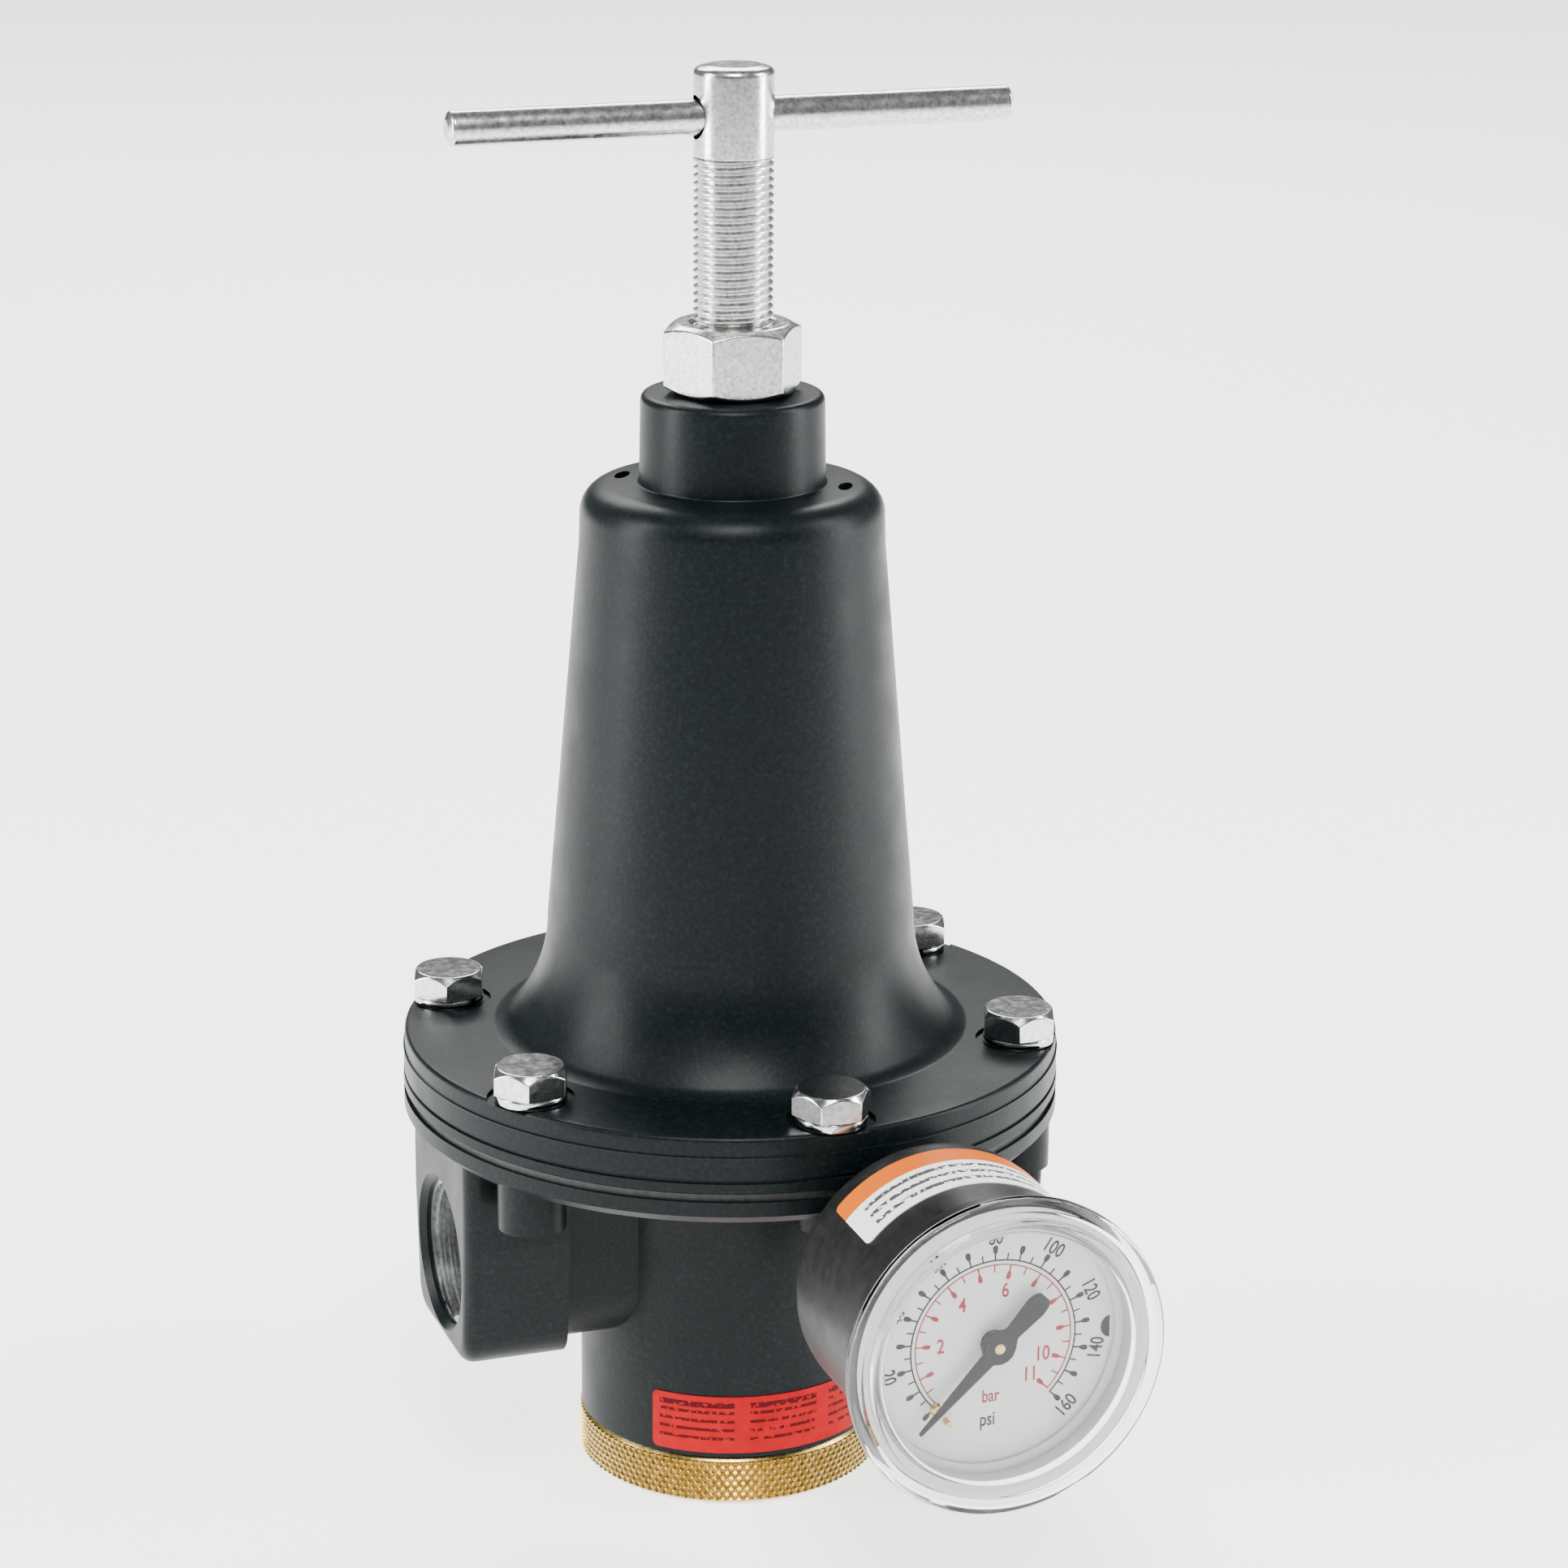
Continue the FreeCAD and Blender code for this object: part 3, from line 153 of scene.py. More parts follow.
def rounded(corners, steps=6):
    """Points of a closed outline whose corners are (across, up) or (across, up, radius)."""
    points = []
    for number, corner in enumerate(corners):
        here = Vector(corner[:2])
        if len(corner) < 3:
            points.append(here)
            continue
        before = Vector(corners[number - 1][:2]) - here
        after = Vector(corners[(number + 1) % len(corners)][:2]) - here
        half = before.angle(after) / 2
        reach = min(corner[2] / math.tan(half), 0.48 * before.length, 0.48 * after.length)
        inward = (before.normalized() + after.normalized()).normalized()
        centre = here + inward * reach / math.cos(half)
        start = here + before.normalized() * reach - centre
        sweep = start.angle_signed(here + after.normalized() * reach - centre)
        for step in range(steps + 1):
            arm = start.copy()
            arm.rotate(Matrix.Rotation(-sweep * step / steps, 2))
            points.append(centre + arm)
    return points


def arc(centre, radius, first, last, steps=16):
    """Outline points along an arc, angles in degrees."""
    points = []
    for step in range(steps + 1):
        turn = math.radians(first + (last - first) * step / steps)
        points.append((centre[0] + radius * math.cos(turn), centre[1] + radius * math.sin(turn)))
    return points


def lathe(outline, segments=192):
    """A closed outline of (radius, height) turned about Z."""
    bm = bmesh.new()
    rings = []
    for radius, up in outline:
        count = 1 if radius < 1e-4 else segments
        rings.append([bm.verts.new(turn_point(radius, 360 * i / segments, up) * MM)
                      for i in range(count)])
    for here, after in zip(rings, rings[1:] + rings[:1]):
        if len(here) == 1 and len(after) == 1:
            continue
        for i in range(segments):
            nxt = (i + 1) % segments
            corners = [here[i % len(here)], here[nxt % len(here)],
                       after[nxt % len(after)], after[i % len(after)]]
            bm.faces.new(list(dict.fromkeys(corners)))
    return bm


def hexagon(flats, low, high, top_chamfer, foot_chamfer, bore=0.0, turn=0.0, per_side=10):
    """A hexagon bar whose corners are turned off by a cone; a chamfer is (circle share, slope)."""
    bm = bmesh.new()
    columns = []
    for number in range(6 * per_side):
        angle = 60.0 * number / per_side
        reach = flats / 2 / math.cos(math.radians(angle % 60 - 30))
        column = []
        for level, side, chamfer in ((low, 1, foot_chamfer), (high, -1, top_chamfer)):
            circle = flats * chamfer[0]
            slope_end = level + side * (reach - circle) * chamfer[1]
            rim = [(circle, level), (reach, slope_end)]
            column += rim if side > 0 else rim[::-1]
        if bore:
            column = [(bore, low + 0.8), (bore + 0.8, low)] + column
            column += [(bore + 0.8, high), (bore, high - 0.8)]
        else:
            column = [(0.0, low)] + column + [(0.0, high)]
        columns.append([bm.verts.new(turn_point(across, angle + turn, up) * MM)
                        for across, up in column])
    for left, right in zip(columns, columns[1:] + columns[:1]):
        count = len(left)
        for k in range(count if bore else count - 1):
            bm.faces.new((left[k], right[k], right[(k + 1) % count], left[(k + 1) % count]))
    bmesh.ops.remove_doubles(bm, verts=bm.verts, dist=1e-8)
    bmesh.ops.dissolve_degenerate(bm, edges=bm.edges, dist=1e-8)
    return bm


def helix(root, crest, pitch, low, high, taper=0.0, per_turn=72):
    """Skin of a screw thread about Z between two heights; taper is radius lost for each mm."""
    bm = bmesh.new()
    profile = ((0.0, root), (0.14, root), (0.44, crest), (0.64, crest), (0.94, root))
    rows = []
    for step in range(int((high - low) / pitch * per_turn) + 2 * per_turn):
        base = low - pitch + pitch * step / per_turn
        row = []
        for share, radius in profile:
            up = min(max(base + share * pitch, low), high)
            row.append(bm.verts.new(turn_point(radius - taper * (up - low),
                                               360.0 * step / per_turn, up) * MM))
        rows.append(row)
    for step in range(len(rows) - 1):
        for k in range(len(profile) - 1):
            bm.faces.new((rows[step][k], rows[step + 1][k],
                          rows[step + 1][k + 1], rows[step][k + 1]))
        if step + per_turn + 1 < len(rows):
            bm.faces.new((rows[step][-1], rows[step + 1][-1],
                          rows[step + per_turn + 1][0], rows[step + per_turn][0]))
    bmesh.ops.remove_doubles(bm, verts=bm.verts, dist=1e-7)
    bmesh.ops.dissolve_degenerate(bm, edges=bm.edges, dist=1e-7)
    return bm


def flat_shape(bm, points, low, high):
    """Add a flat shape: a closed outline filled between two heights."""
    lower = [bm.verts.new(Vector((x, y, low)) * MM) for x, y in points]
    upper = [bm.verts.new(Vector((x, y, high)) * MM) for x, y in points]
    bm.faces.new(lower[::-1])
    bm.faces.new(upper)
    for k in range(len(points)):
        after = (k + 1) % len(points)
        bm.faces.new((lower[k], lower[after], upper[after], upper[k]))


def merge(target, *others):
    """Add other meshes to the first one."""
    for other in others:
        spare = bpy.data.meshes.new("spare")
        other.to_mesh(spare)
        other.free()
        target.from_mesh(spare)
        bpy.data.meshes.remove(spare)
    return target


def plain_object(name, bm, matrix=Matrix()):
    """A linked object made from a bmesh, which is used up."""
    mesh = bpy.data.meshes.new(name)
    bm.to_mesh(mesh)
    bm.free()
    mesh.transform(matrix)
    thing = bpy.data.objects.new(name, mesh)
    bpy.context.scene.collection.objects.link(thing)
    return thing


def piece(name, bm, slot, body, replaces=(), matrix=Matrix(), sharp=32, facing=True, finish=None):
    """A finished piece: shaded, with its slot's finish or its own, riding on its body."""
    if facing:
        bmesh.ops.recalc_face_normals(bm, faces=bm.faces)
    thing = plain_object(name, bm, matrix)
    thing.data.shade_smooth()
    thing.data.set_sharp_from_angle(angle=math.radians(sharp))
    thing.data.materials.append(finish or FINISHES[slot])
    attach(thing, body)
    if replaces:
        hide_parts(*replaces)
    return thing


def carve(bm, tools):
    """The mesh with tool meshes cut out of it."""
    base = plain_object("carved", bm)
    cutters = [plain_object("cutter", tool) for tool in tools]
    for cutter in cutters:
        change = base.modifiers.new("cut", "BOOLEAN")
        change.operation = "DIFFERENCE"
        change.solver = "EXACT"
        change.object = cutter
    graph = bpy.context.evaluated_depsgraph_get()
    result = bmesh.new()
    result.from_mesh(base.evaluated_get(graph).to_mesh())
    for thing in [base, *cutters]:
        bpy.data.objects.remove(thing)
    return result


def drum(radius, low, high, at=(0.0, 0.0), matrix=Matrix(), segments=64):
    """A closed cylinder about Z, used as a cutting tool."""
    bm = lathe([(0.0, low), (radius, low), (radius, high), (0.0, high)], segments)
    bmesh.ops.recalc_face_normals(bm, faces=bm.faces)
    place = matrix @ Matrix.Translation(Vector((*at, 0)) * MM)
    bmesh.ops.transform(bm, matrix=place, verts=bm.verts)
    return bm


# ---------------------------------------------------------------- finishes


class Finish:
    """A Principled material with short calls for its texture nodes."""

    def __init__(self, name, colour, roughness, metallic=0.0, **sockets):
        self.material = bpy.data.materials.new(name)
        self.material.use_nodes = True
        self.tree = self.material.node_tree
        self.shader = self.tree.nodes["Principled BSDF"]
        self.shader.inputs["Base Color"].default_value = (*colour, 1.0)
        self.shader.inputs["Roughness"].default_value = roughness
        self.shader.inputs["Metallic"].default_value = metallic
        for socket, amount in sockets.items():
            self.shader.inputs[socket.replace("_", " ")].default_value = amount
        self.where = self.add("ShaderNodeTexCoord").outputs["Object"]

    def add(self, kind, links=(), **values):
        """A new node; links are (input, output socket), values are settings or input values."""
        made = self.tree.nodes.new(kind)
        for key, amount in values.items():
            if hasattr(made, key):
                setattr(made, key, amount)
            else:
                made.inputs[key.replace("_", " ")].default_value = amount
        for socket, source in links:
            self.tree.links.new(source, made.inputs[socket])
        return made

    def sum(self, operation, first, second=0.0):
        """One Math node; each side is a number or an output socket."""
        made = self.add("ShaderNodeMath", operation=operation)
        for index, side in enumerate((first, second)):
            if isinstance(side, (int, float)):
                made.inputs[index].default_value = side
            else:
                self.tree.links.new(side, made.inputs[index])
        return made.outputs["Value"]

    def noise(self, size_mm, detail=3.0, stretch=(1, 1, 1)):
        """Noise whose features are about size_mm across, from 0 to 1."""
        scaled = self.add("ShaderNodeMapping", [("Vector", self.where)], Scale=stretch)
        made = self.add("ShaderNodeTexNoise", [("Vector", scaled.outputs["Vector"])],
                        Scale=1000.0 / size_mm, Detail=detail)
        return made.outputs["Fac"]

    def colours(self, source, stops):
        """Base colour from a value, through (position, colour) stops."""
        ramp = self.add("ShaderNodeValToRGB", [("Fac", source)])
        ramp.color_ramp.elements[0].position = stops[0][0]
        ramp.color_ramp.elements[0].color = (*stops[0][1], 1.0)
        ramp.color_ramp.elements[1].position = stops[-1][0]
        ramp.color_ramp.elements[1].color = (*stops[-1][1], 1.0)
        for position, colour in stops[1:-1]:
            ramp.color_ramp.elements.new(position).color = (*colour, 1.0)
        self.tree.links.new(ramp.outputs["Color"], self.shader.inputs["Base Color"])
        return ramp.outputs["Color"]

    def mix(self, share, first, second):
        """Mixed colour of two sockets or plain colours."""
        made = self.add("ShaderNodeMix", data_type="RGBA")
        self.tree.links.new(share, made.inputs[0])
        for index, side in ((6, first), (7, second)):
            if isinstance(side, tuple):
                made.inputs[index].default_value = (*side, 1.0)
            else:
                self.tree.links.new(side, made.inputs[index])
        self.tree.links.new(made.outputs[2], self.shader.inputs["Base Color"])
        return made.outputs[2]

    def roughen(self, source, low, high):
        """Roughness that follows a value, between two limits."""
        spread = self.add("ShaderNodeMapRange", [("Value", source)], To_Min=low, To_Max=high)
        spread.inputs["From Min"].default_value = 0.3
        spread.inputs["From Max"].default_value = 0.7
        self.tree.links.new(spread.outputs["Result"], self.shader.inputs["Roughness"])

    def bump(self, source, depth_mm):
        """Fine relief of a given depth."""
        made = self.add("ShaderNodeBump", [("Height", source)], Strength=1.0,
                        Distance=depth_mm * MM)
        self.tree.links.new(made.outputs["Normal"], self.shader.inputs["Normal"])

    def angle(self, across, along):
        """Turn in degrees, 0 to 360, of the point whose two distances are given."""
        turned = self.sum("ARCTAN2", along, across)
        degrees = self.sum("MULTIPLY", turned, 180 / math.pi)
        return self.sum("FLOORED_MODULO", degrees, 360.0)

    def band(self, source, low, high):
        """1 where a value lies between two numbers, else 0."""
        above = self.sum("GREATER_THAN", source, low)
        below = self.sum("LESS_THAN", source, high)
        return self.sum("MULTIPLY", above, below)


def powder_coat():
    """Satin black paint over a sand casting, with a slight orange peel."""
    made = Finish("powder_coat", (0.006, 0.008, 0.009), 0.40, Specular_IOR_Level=0.13)
    made.colours(made.noise(0.8, 2.0), [(0.30, (0.0008, 0.0022, 0.0026)),
                                        (0.52, (0.0016, 0.0038, 0.0044)),
                                        (0.74, (0.0050, 0.0085, 0.0092))])
    made.roughen(made.noise(9.0, 3.0), 0.35, 0.44)
    made.bump(made.noise(0.7, 2.0), 0.022)
    return made.material


def zinc_plate():
    """Dull zinc on the screw, bar and nut."""
    made = Finish("zinc_plate", (0.75, 0.76, 0.77), 0.24, 1.0)
    made.colours(made.noise(0.7, 3.0), [(0.34, (0.42, 0.415, 0.40)), (0.50, (0.58, 0.585, 0.575)),
                                        (0.68, (0.70, 0.71, 0.70))])
    made.roughen(made.noise(1.6, 3.0), 0.18, 0.28)
    made.bump(made.noise(0.6, 2.0), 0.006)
    return made.material


def bright_plate():
    """Brighter zinc on the flange screws and their washers."""
    made = Finish("bright_plate", (0.80, 0.81, 0.82), 0.14, 1.0)
    made.colours(made.noise(0.9, 3.0), [(0.32, (0.48, 0.48, 0.47)), (0.60, (0.68, 0.69, 0.69))])
    made.roughen(made.noise(1.4, 3.0), 0.10, 0.20)
    made.bump(made.noise(0.9, 2.0), 0.003)
    return made.material


def brass():
    """Turned brass, a little tarnished."""
    made = Finish("brass", (0.66, 0.47, 0.17), 0.26, 1.0)
    made.colours(made.noise(1.4, 3.0), [(0.34, (0.42, 0.28, 0.075)), (0.52, (0.52, 0.36, 0.11)),
                                        (0.70, (0.62, 0.46, 0.17))])
    made.roughen(made.noise(1.2, 3.0), 0.22, 0.34)
    made.bump(made.noise(0.6, 2.0), 0.004)
    return made.material


def steel():
    """Machined steel with fine turning marks."""
    made = Finish("machined_steel", (0.52, 0.53, 0.54), 0.34, 1.0)
    made.colours(made.noise(2.0, 3.0), [(0.35, (0.40, 0.40, 0.40)), (0.65, (0.60, 0.61, 0.62))])
    made.bump(made.noise(0.5, 2.0, (1, 1, 12)), 0.01)
    return made.material


def spring_steel():
    """Dark oiled spring wire."""
    made = Finish("spring_steel", (0.30, 0.30, 0.31), 0.38, 1.0)
    made.colours(made.noise(1.5, 3.0), [(0.35, (0.18, 0.18, 0.19)), (0.70, (0.38, 0.38, 0.40))])
    made.roughen(made.noise(3.0, 3.0), 0.28, 0.45)
    return made.material


def bare_metal():
    """Freshly cut die-cast metal inside the pipe threads."""
    made = Finish("cut_metal", (0.62, 0.63, 0.63), 0.28, 1.0)
    made.colours(made.noise(1.0, 3.0), [(0.35, (0.46, 0.47, 0.47)), (0.65, (0.74, 0.75, 0.75))])
    made.bump(made.noise(0.35, 2.0), 0.012)
    return made.material


def nitrile():
    """Matt black rubber."""
    made = Finish("nitrile", (0.014, 0.014, 0.015), 0.58)
    made.colours(made.noise(1.4, 3.0), [(0.35, (0.010, 0.010, 0.011)),
                                        (0.70, (0.024, 0.025, 0.025))])
    made.bump(made.noise(0.5, 3.0), 0.03)
    return made.material


def gauge_black():
    """Black moulded plastic of the gauge case."""
    made = Finish("gauge_case_black", (0.010, 0.010, 0.011), 0.44, Specular_IOR_Level=0.3)
    made.colours(made.noise(2.0, 3.0), [(0.35, (0.006, 0.006, 0.006)),
                                        (0.70, (0.013, 0.013, 0.013))])
    made.roughen(made.noise(5.0, 3.0), 0.36, 0.46)
    made.bump(made.noise(0.4, 2.0), 0.012)
    return made.material


def pointer_black():
    """Matt black paint on the needle."""
    made = Finish("pointer_black", (0.006, 0.006, 0.007), 0.5, Specular_IOR_Level=0.06)
    made.colours(made.noise(1.0, 2.0), [(0.35, (0.002, 0.002, 0.003)),
                                        (0.70, (0.005, 0.005, 0.006))])
    made.bump(made.noise(0.3, 2.0), 0.008)
    return made.material


def dial_white():
    """White painted dial."""
    made = Finish("dial_white", (0.86, 0.86, 0.84), 0.34)
    made.colours(made.noise(6.0, 3.0), [(0.35, (0.85, 0.855, 0.84)), (0.65, (0.90, 0.90, 0.885))])
    made.bump(made.noise(0.5, 2.0), 0.004)
    return made.material


def pale_seal():
    """Pale plastic ring and lining between the case and its window."""
    made = Finish("pale_seal", (0.86, 0.86, 0.85), 0.4)
    made.colours(made.noise(2.0, 2.0), [(0.35, (0.84, 0.84, 0.83)), (0.65, (0.88, 0.88, 0.87))])
    made.bump(made.noise(0.6, 2.0), 0.004)
    return made.material


def ink(name, dark, light):
    """Printing ink on the dial."""
    made = Finish(name, light, 0.42, Specular_IOR_Level=0.05)
    made.colours(made.noise(0.5, 2.0), [(0.35, dark), (0.65, light)])
    made.bump(made.noise(0.25, 2.0), 0.003)
    return made.material


def clear_lens():
    """Clear plastic."""
    made = Finish("clear_lens", (0.985, 0.99, 0.99), 0.0, Transmission_Weight=1.0, IOR=1.33,
                  Specular_IOR_Level=0.07)
    made.roughen(made.noise(8.0, 3.0), 0.0, 0.012)
    return made.material


def ruled_lines(made, along, across, columns, first, pitch, count, share, heavy_first=False):
    """Mask of plain ruled lines standing in for small print, broken up like words.

    The columns are (start, end) along the lines, share is the inked part of the pitch, and a
    heavy first line is a heading.
    """
    inside = 0.0
    for low, high in columns:
        inside = made.sum("ADD", inside, made.band(along, low, high))
    steps = made.sum("DIVIDE", made.sum("SUBTRACT", across, first), pitch)
    part = made.sum("FRACT", steps)
    lines = made.sum("LESS_THAN", part, share)
    if heavy_first:
        heavy = made.sum("LESS_THAN", steps, 0.62)
        lines = made.sum("MAXIMUM", lines, heavy)
    span = made.band(steps, 0.0, float(count))
    words = made.sum("GREATER_THAN", made.noise(0.9, 1.0), 0.42)
    mask = made.sum("MULTIPLY", made.sum("MULTIPLY", lines, span), inside)
    return made.sum("MULTIPLY", mask, words)


def millimetres(made):
    """The point's three coordinates in millimetres."""
    split = made.add("ShaderNodeSeparateXYZ", [("Vector", made.where)])
    return [made.sum("MULTIPLY", split.outputs[axis], 1000.0) for axis in "XYZ"]


def red_sticker():
    """Red label round the foot of the body, ruled in three columns."""
    made = Finish("red_sticker", (0.40, 0.004, 0.010), 0.42, Specular_IOR_Level=0.06)
    across, along, up = millimetres(made)
    turn = made.angle(across, along)
    sticker_top = 22.1
    drop = made.sum("SUBTRACT", sticker_top, up)
    columns = ((224, 253), (259, 286), (292, 322))
    mask = ruled_lines(made, turn, drop, columns, 1.2, 1.75, 5, 0.34, heavy_first=True)
    soft = made.noise(3.0, 2.0)
    ground = made.colours(soft, [(0.3, (0.33, 0.001, 0.004)), (0.7, (0.40, 0.002, 0.007))])
    made.mix(made.sum("MULTIPLY", mask, 0.9), ground, (0.035, 0.003, 0.005))
    made.bump(made.noise(1.2, 2.0), 0.006)
    return made.material


def white_sticker():
    """White label over the gauge case with an orange band along its back edge."""
    made = Finish("white_sticker", (0.88, 0.88, 0.86), 0.42, Specular_IOR_Level=0.08)
    across, along, up = millimetres(made)
    right = made.sum("SUBTRACT", across, GAUGE_X)
    above = made.sum("SUBTRACT", up, GAUGE_Z)
    turn = made.angle(right, above)
    forward = made.sum("MULTIPLY", along, -1.0)
    mask = ruled_lines(made, turn, forward, ((52, 131),), STICKER_BACK + 6.9, 2.9, 3, 0.40)
    orange = made.sum("LESS_THAN", forward, STICKER_BACK + 5.3)
    soft = made.noise(4.0, 2.0)
    ground = made.colours(soft, [(0.3, (0.87, 0.87, 0.85)), (0.7, (0.92, 0.92, 0.91))])
    printed = made.mix(made.sum("MULTIPLY", mask, 0.95), ground, (0.012, 0.012, 0.014))
    made.mix(orange, printed, (0.62, 0.125, 0.001))
    made.bump(made.noise(1.2, 2.0), 0.006)
    return made.material


FINISHES = {
    "black_coat": powder_coat(),
    "brass": brass(),
    "steel": steel(),
    "spring_steel": spring_steel(),
    "zinc_plate": zinc_plate(),
    "bright_plate": bright_plate(),
    "nitrile": nitrile(),
    "gauge_black": gauge_black(),
    "dial_white": dial_white(),
    "pointer_black": pointer_black(),
    "clear_lens": clear_lens(),
    "red_sticker": red_sticker(),
    "white_sticker": white_sticker(),
}
CUT_METAL = bare_metal()
PALE_SEAL = pale_seal()
BLACK_INK = ink("black_ink", (0.002, 0.002, 0.003), (0.004, 0.004, 0.005))
RED_INK = ink("red_ink", (0.34, 0.002, 0.006), (0.42, 0.004, 0.010))


def dress_frame():
    """Give every CAD node the finish of its own material slot."""
    for part in frame["record"]["subparts"]:
        for holder in NODES[part["node"]].material_slots:
            holder.link = "OBJECT"
            holder.material = FINISHES[part["material_slot"]]
    for holder in NODES["lens_gasket"].material_slots:
        holder.material = PALE_SEAL


# ---------------------------------------------------------------- bottom cap


def knurl(radius, depth, low, row, rows, around):
    """Diamond knurling: a pyramid with a flattened tip at every crossing of two helical cuts."""
    bm = bmesh.new()
    step = 360.0 / around
    flat = 0.3
    floor_points = {}

    def floor_point(column, level):
        key = (round(column * 2) % (2 * around), level)
        if key not in floor_points:
            floor_points[key] = bm.verts.new(
                turn_point(radius - depth, column * step, low + level * row) * MM)
        return floor_points[key]

    for level in range(rows + 1):
        for number in range(around):
            column = number + 0.5 * (level % 2)
            directions = [(-0.5, 0), (0, -1), (0.5, 0), (0, 1)]
            if level == 0:
                directions = [(-0.5, 0), (0.5, 0), (0, 1)]
            if level == rows:
                directions = [(-0.5, 0), (0, -1), (0.5, 0)]
            base = [floor_point(column + a, level + b) for a, b in directions]
            tips = [bm.verts.new(turn_point(radius, (column + flat * a) * step,
                                            low + (level + flat * b) * row) * MM)
                    for a, b in directions]
            bm.faces.new(tips)
            count = len(base)
            for k in range(count):
                after = (k + 1) % count
                bm.faces.new((base[k], base[after], tips[after], tips[k]))
    return bm


def bottom_cap():
    """Turned brass cap: knurled rim, chamfered edges and a spigot with an O-ring groove."""
    low, high = 1.0, CAP_RIM_TOP - 0.7
    waist = CAP_RADIUS - KNURL_DEPTH
    spigot, groove, wall = 21.8, 19.9, 17.8
    boss, guide_bore = 7.6, 4.06
    floor_level = 4.0
    outline = rounded([
        (0, 0), (CAP_RADIUS - 1.5, 0, 0.4), (waist, low, 0.1), (waist, high, 0.1),
        (waist - 0.6, CAP_RIM_TOP, 0.2), (spigot, CAP_RIM_TOP), (spigot, CAP_TOP - 3.6),
        (groove, CAP_TOP - 3.6), (groove, CAP_TOP - 1), (spigot, CAP_TOP - 1),
        (spigot, CAP_TOP, 0.3), (wall, CAP_TOP), (wall, CAP_TOP - 4), (boss, CAP_TOP - 4),
        (boss, CAP_BOSS_TOP, 0.4), (guide_bore, CAP_BOSS_TOP), (guide_bore, floor_level),
        (0, floor_level),
    ])
    skin = knurl(CAP_RADIUS, KNURL_DEPTH, low, (high - low) / KNURL_ROWS, KNURL_ROWS,
                 KNURLS_AROUND)
    core = lathe(outline, 240)
    bmesh.ops.recalc_face_normals(core, faces=core.faces)
    piece("knurled_cap", merge(core, skin), "brass", "regulator", ["bottom_cap"], sharp=20,
          facing=False)


# ---------------------------------------------------------------- bonnet


def bonnet():
    """Bell casting with its parting line, spot faces, clearance holes and vents."""
    foot = BONNET_LOW.z
    rim = FLANGE_RADIUS
    line, lip = PARTING_LINE, LIP_LINE
    top, crown = FLANGE_TOP, CROWN_TOP
    skirt, waist, bore = 34.0, 108.0, 7.2
    flare = arc((skirt + 30.0, waist), 30.0, 180 + 44.9, 180, 20)
    outside = [
        (rim - 0.25, foot), (rim, foot + 0.25), (rim, line - 0.35), (rim - 0.45, line - 0.15),
        (rim - 0.45, line + 0.2), (rim - 0.1, line + 0.4), (rim - 0.1, lip - 0.25),
        (rim, lip - 0.1), (rim, lip + 0.1), (rim - 0.3, lip + 0.25), (rim - 0.3, top, 0.9),
        (44.2, top, 2.0), *flare[1:-1], (skirt, waist), (CROWN_RADIUS + 0.3, crown - 11.2),
        (CROWN_RADIUS, crown - 0.3, 10.5), (16.87, crown, 0.5), (16.6, NECK_TOP, 1.4),
        (bore, NECK_TOP, 0.3),
    ]
    inside = [
        (bore, crown - 3.6), (20.6, crown - 3.6, 3), (23.6, crown - 8, 2), (skirt - 4.0, waist),
        (40.0, 83.8, 2), (40.0, foot),
    ]
    shell = lathe(rounded(outside + inside, 8), 240)
    bmesh.ops.recalc_face_normals(shell, faces=shell.faces)
    tools = []
    for angle in BOLT_ANGLES:
        at = turn_point(BOLT_CIRCLE, angle)[:2]
        tools.append(drum(BOLT_RADIUS + 0.35, foot - 2, top + 2, at, segments=48))
        tools.append(drum(SPOT_FACE_RADIUS, WASHER_SEAT, top + 6, at, segments=96))
    for angle in VENT_ANGLES:
        slot = Matrix.Rotation(math.radians(angle), 4, "Z") @ Matrix.Diagonal((0.62, 1.5, 1, 1))
        vent = drum(2.0, crown - 9, crown + 4, segments=40)
        shift = Matrix.Translation(turn_point(VENT_CIRCLE, angle) * MM)
        bmesh.ops.transform(vent, matrix=shift @ slot, verts=vent.verts)
        tools.append(vent)
    piece("bonnet_casting", carve(shell, tools), "black_coat", "regulator", ["bonnet"], sharp=30)


# ---------------------------------------------------------------- screw, bar, nut and bolts


